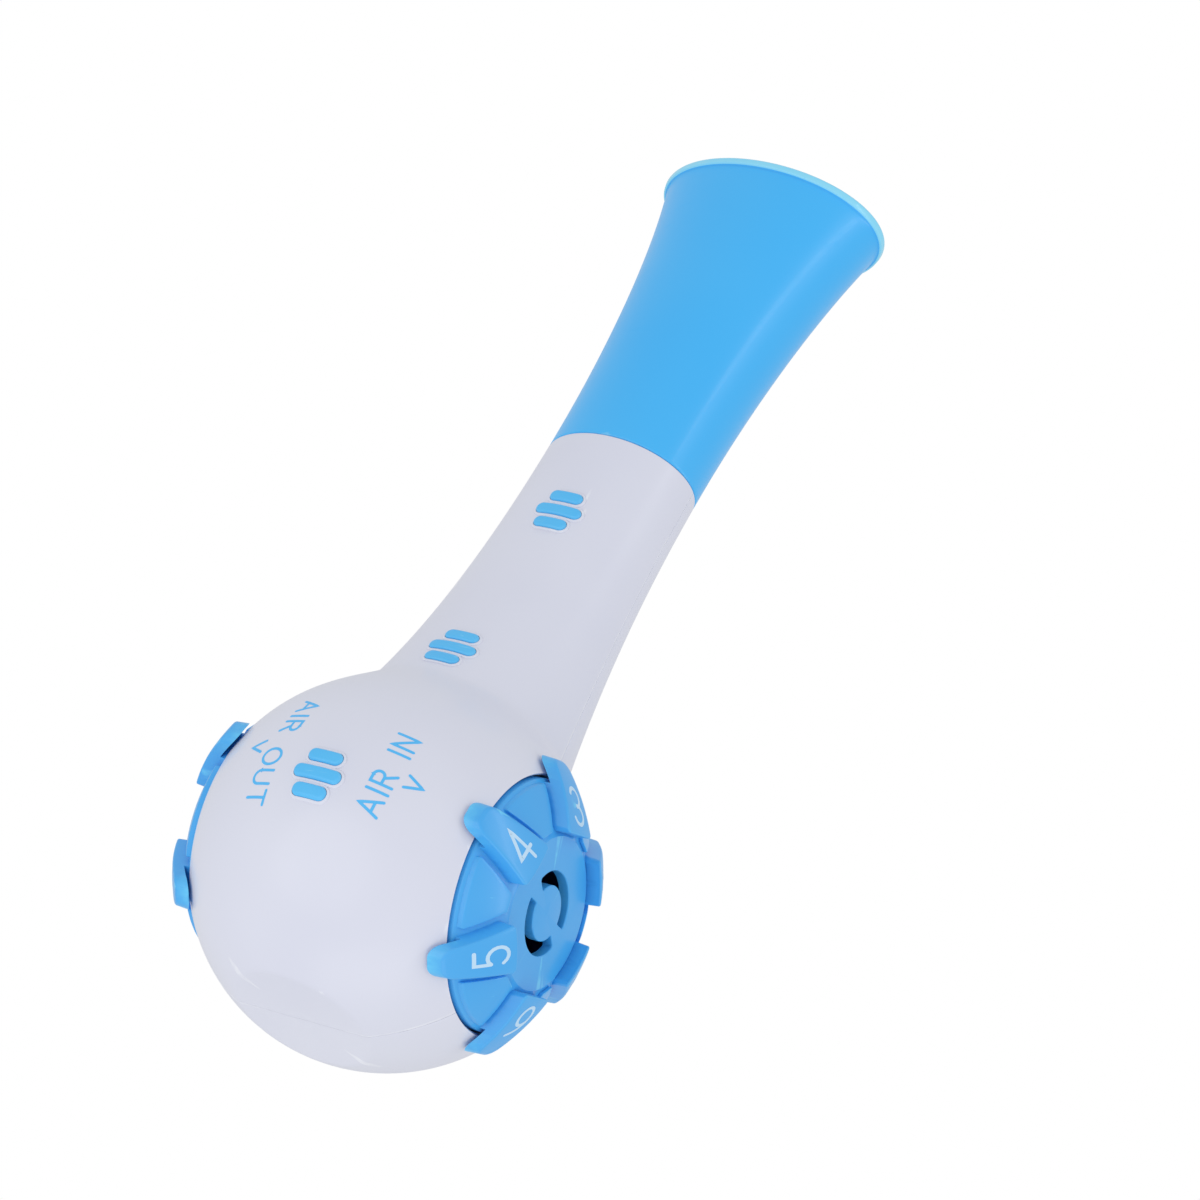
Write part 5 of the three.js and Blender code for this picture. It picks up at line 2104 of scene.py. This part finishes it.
@dataclass
class Words:
    """The words and pointers printed on the ball beside each dial."""

    wardrobe: Wardrobe
    height: float = 3.3
    width: float = 0.42
    pointer_height: float = 2.5
    pointer_turn: float = 63.2
    text_turn: float = 71.6
    drop: float = -0.6

    def build(self) -> None:
        """Prints both sides."""
        for breath, text in ((Breath.INHALE, "AIR IN"), (Breath.EXHALE, "AIR OUT")):
            words = Lettering(text, self.height, self.width).form()
            pointer = Lettering("V", self.pointer_height, self.width).form()
            parts = [self.onto_ball(words, breath, self.text_turn),
                     self.onto_ball(pointer, breath, self.pointer_turn)]
            thing = parts[0].with_others(parts[1:]).object(f"{breath.word}_print", row_place())
            shade(thing, 50)
            Seat("casing").take(thing, self.wardrobe.get(BLUE_PRINT))

    def onto_ball(self, form: Form, breath: Breath, turn: float) -> Form:
        """Lays a flat form on the ball, its foot towards the dial.

        Args:
            form: the flat form, centred.
            breath: the side whose dial it belongs to.
            turn: how far it lies from the dial's axis towards the front, in degrees.

        Returns:
            The form about the ball's centre.
        """
        def place(p: Array) -> Array:
            """Wraps flat points round the ball.

            Args:
                p: the points, one row each.

            Returns:
                The points about the ball's centre.
            """
            rise = (self.drop + breath.value * p[:, 0]) / BODY.ball
            around = math.radians(turn) + p[:, 1] / (BODY.ball * np.cos(rise))
            radius = BODY.ball + p[:, 2]
            return np.column_stack([breath.value * radius * np.cos(around) * np.cos(rise),
                                    -radius * np.sin(around) * np.cos(rise), radius * np.sin(rise)])
        return form.moved(place)


@dataclass(frozen=True)
class Softbox:
    """A light, round if its sides are alike, placed by the camera's axes about its aim.

    Args:
        name: the light's name.
        right: how far to the camera's right, in metres.
        up: how far up.
        towards: how far towards the camera.
        width: its width.
        height: its height.
        power: its power in watts.
    """

    name: str
    right: float
    up: float
    towards: float
    width: float
    height: float
    power: float


@dataclass
class Studio:
    """The camera, the lights, the white surround and the floor."""

    azimuth: float = 31.94
    elevation: float = -31.23
    roll: float = 30.11
    aim: tuple[float, float, float] = (19.00, -17.98, 41.74)
    distance: float = 0.5711
    lens: float = 120.0
    surround: float = 0.72
    floor_half: float = 3.0
    softboxes: tuple[Softbox, ...] = (
        Softbox("key", -0.45, 0.1, 0.6, 0.8, 0.8, 1.35),
        Softbox("strip", 0.5, 0.05, 0.2, 0.05, 0.6, 0.45),
        Softbox("low", -0.1, -0.6, 0.4, 0.7, 0.4, 0.7),
    )

    def build(self) -> None:
        """Sets up everything that is not part of the object."""
        view = self.axes()
        centre = row_place() @ Vector(self.aim)
        self.camera(view, centre)
        for softbox in self.softboxes:
            self.light(softbox, view, centre)
        self.surroundings()
        self.floor()
        bpy.context.scene.view_settings.view_transform = "Standard"
        LOG.info("studio: camera, %d lights and floor", len(self.softboxes))

    def axes(self) -> View:
        """The camera's right, up and backward directions.

        Returns:
            The three directions.
        """
        a, e, r = (math.radians(v) for v in (self.azimuth, self.elevation, self.roll))
        back = Vector((math.sin(a) * math.cos(e), -math.cos(a) * math.cos(e), math.sin(e)))
        level_right = Vector((math.cos(a), math.sin(a), 0))
        level_up = back.cross(level_right)
        right = level_right * math.cos(r) + level_up * math.sin(r)
        up = level_up * math.cos(r) - level_right * math.sin(r)
        return right, up, back

    def camera(self, view: View, centre: Vector) -> None:
        """Places the camera.

        Args:
            view: the camera's directions.
            centre: the point it looks at.
        """
        data = bpy.data.cameras.new("camera")
        data.lens, data.sensor_width = self.lens, 36.0
        data.clip_start, data.clip_end = 0.01, 20.0
        thing = bpy.data.objects.new("camera", data)
        basis = Matrix(view).transposed().to_4x4()
        thing.matrix_world = Matrix.Translation(centre + view[2] * self.distance) @ basis
        bpy.context.scene.collection.objects.link(thing)
        bpy.context.scene.camera = thing

    def light(self, softbox: Softbox, view: View, centre: Vector) -> None:
        """Places one softbox so that it faces the point the camera looks at.

        Args:
            softbox: the light.
            view: the camera's directions.
            centre: the point it faces.
        """
        data = bpy.data.lights.new(softbox.name, "AREA")
        data.shape = "ELLIPSE" if softbox.width == softbox.height else "RECTANGLE"
        data.size, data.size_y = softbox.width, softbox.height
        data.energy = softbox.power
        thing = bpy.data.objects.new(softbox.name, data)
        offset = view[0] * softbox.right + view[1] * softbox.up + view[2] * softbox.towards
        back = offset.normalized()
        right = view[1].cross(back).normalized()
        thing.matrix_world = Matrix.Translation(centre + offset) @ Matrix(
            (right, back.cross(right), back)).transposed().to_4x4()
        bpy.context.scene.collection.objects.link(thing)

    def surroundings(self) -> None:
        """A white surround: pure white to the camera, softer as light."""
        world = bpy.data.worlds.new("surround")
        bpy.context.scene.world = world
        world.use_nodes = True
        tree = world.node_tree
        shown = tree.nodes["Background"]
        shown.inputs["Color"].default_value = (1.0, 1.0, 1.0, 1.0)
        shown.inputs["Strength"].default_value = 1.0
        lit = add_node(tree, "ShaderNodeBackground")
        lit.inputs["Color"].default_value = (0.97, 0.98, 1.0, 1.0)
        lit.inputs["Strength"].default_value = self.surround
        path = add_node(tree, "ShaderNodeLightPath")
        mix = add_node(tree, "ShaderNodeMixShader")
        tree.links.new(path.outputs["Is Camera Ray"], mix.inputs[0])
        tree.links.new(lit.outputs[0], mix.inputs[1])
        tree.links.new(shown.outputs[0], mix.inputs[2])
        tree.links.new(mix.outputs[0], tree.nodes["World Output"].inputs["Surface"])

    def floor(self) -> None:
        """A plain pale floor, seen from above only, that takes no light from below."""
        half = self.floor_half
        mesh = bpy.data.meshes.new("floor")
        corners = [(-half, -half, 0), (half, -half, 0), (half, half, 0), (-half, half, 0)]
        mesh.from_pydata(corners, [], [(0, 1, 2, 3)])
        thing = bpy.data.objects.new("floor", mesh)
        bpy.context.scene.collection.objects.link(thing)
        material = bpy.data.materials.new("floor")
        material.use_nodes = True
        tree = material.node_tree
        shader = tree.nodes["Principled BSDF"]
        shader.inputs["Base Color"].default_value = (*screen(236, 237, 240), 1.0)
        shader.inputs["Roughness"].default_value = 0.7
        side = add_node(tree, "ShaderNodeNewGeometry")
        clear = add_node(tree, "ShaderNodeBsdfTransparent")
        mix = add_node(tree, "ShaderNodeMixShader")
        tree.links.new(side.outputs["Backfacing"], mix.inputs[0])
        tree.links.new(shader.outputs[0], mix.inputs[1])
        tree.links.new(clear.outputs[0], mix.inputs[2])
        tree.links.new(mix.outputs[0], tree.nodes["Material Output"].inputs["Surface"])
        mesh.materials.append(material)
        thing.visible_shadow = thing.visible_diffuse = False
        thing.visible_glossy = thing.visible_transmission = False


def main() -> None:
    """Builds every sub-assembly in order and reports it."""
    logging.basicConfig(level=logging.INFO, format="%(name)s: %(message)s")
    wardrobe = Wardrobe()
    dials = (
        Dial(wardrobe, Breath.INHALE, (4.4, 3.8, 3.2, 2.7, 2.2, 1.7), 4, 0.0, 12.1),
        Dial(wardrobe, Breath.EXHALE, (4.4, 3.6, 2.9, 2.3, 1.8), 2, 12.0, 11.5),
    )
    springs = (
        ConeSpring(wardrobe, Breath.INHALE, (4.9, 6.7), (2.6, 2.0), 4.9),
        ConeSpring(wardrobe, Breath.EXHALE, (5.8, 8.0), (5.2, 3.5), 8.0),
    )
    for part in (Casing(wardrobe), Mouthpiece(wardrobe), NeckFitting(wardrobe), *dials,
                 ExhaleGuide(wardrobe), *springs, Words(wardrobe), HiddenWorks(wardrobe), Studio()):
        part.build()
        LOG.info("%s is built", type(part).__name__)


if __name__ == "__main__":
    main()
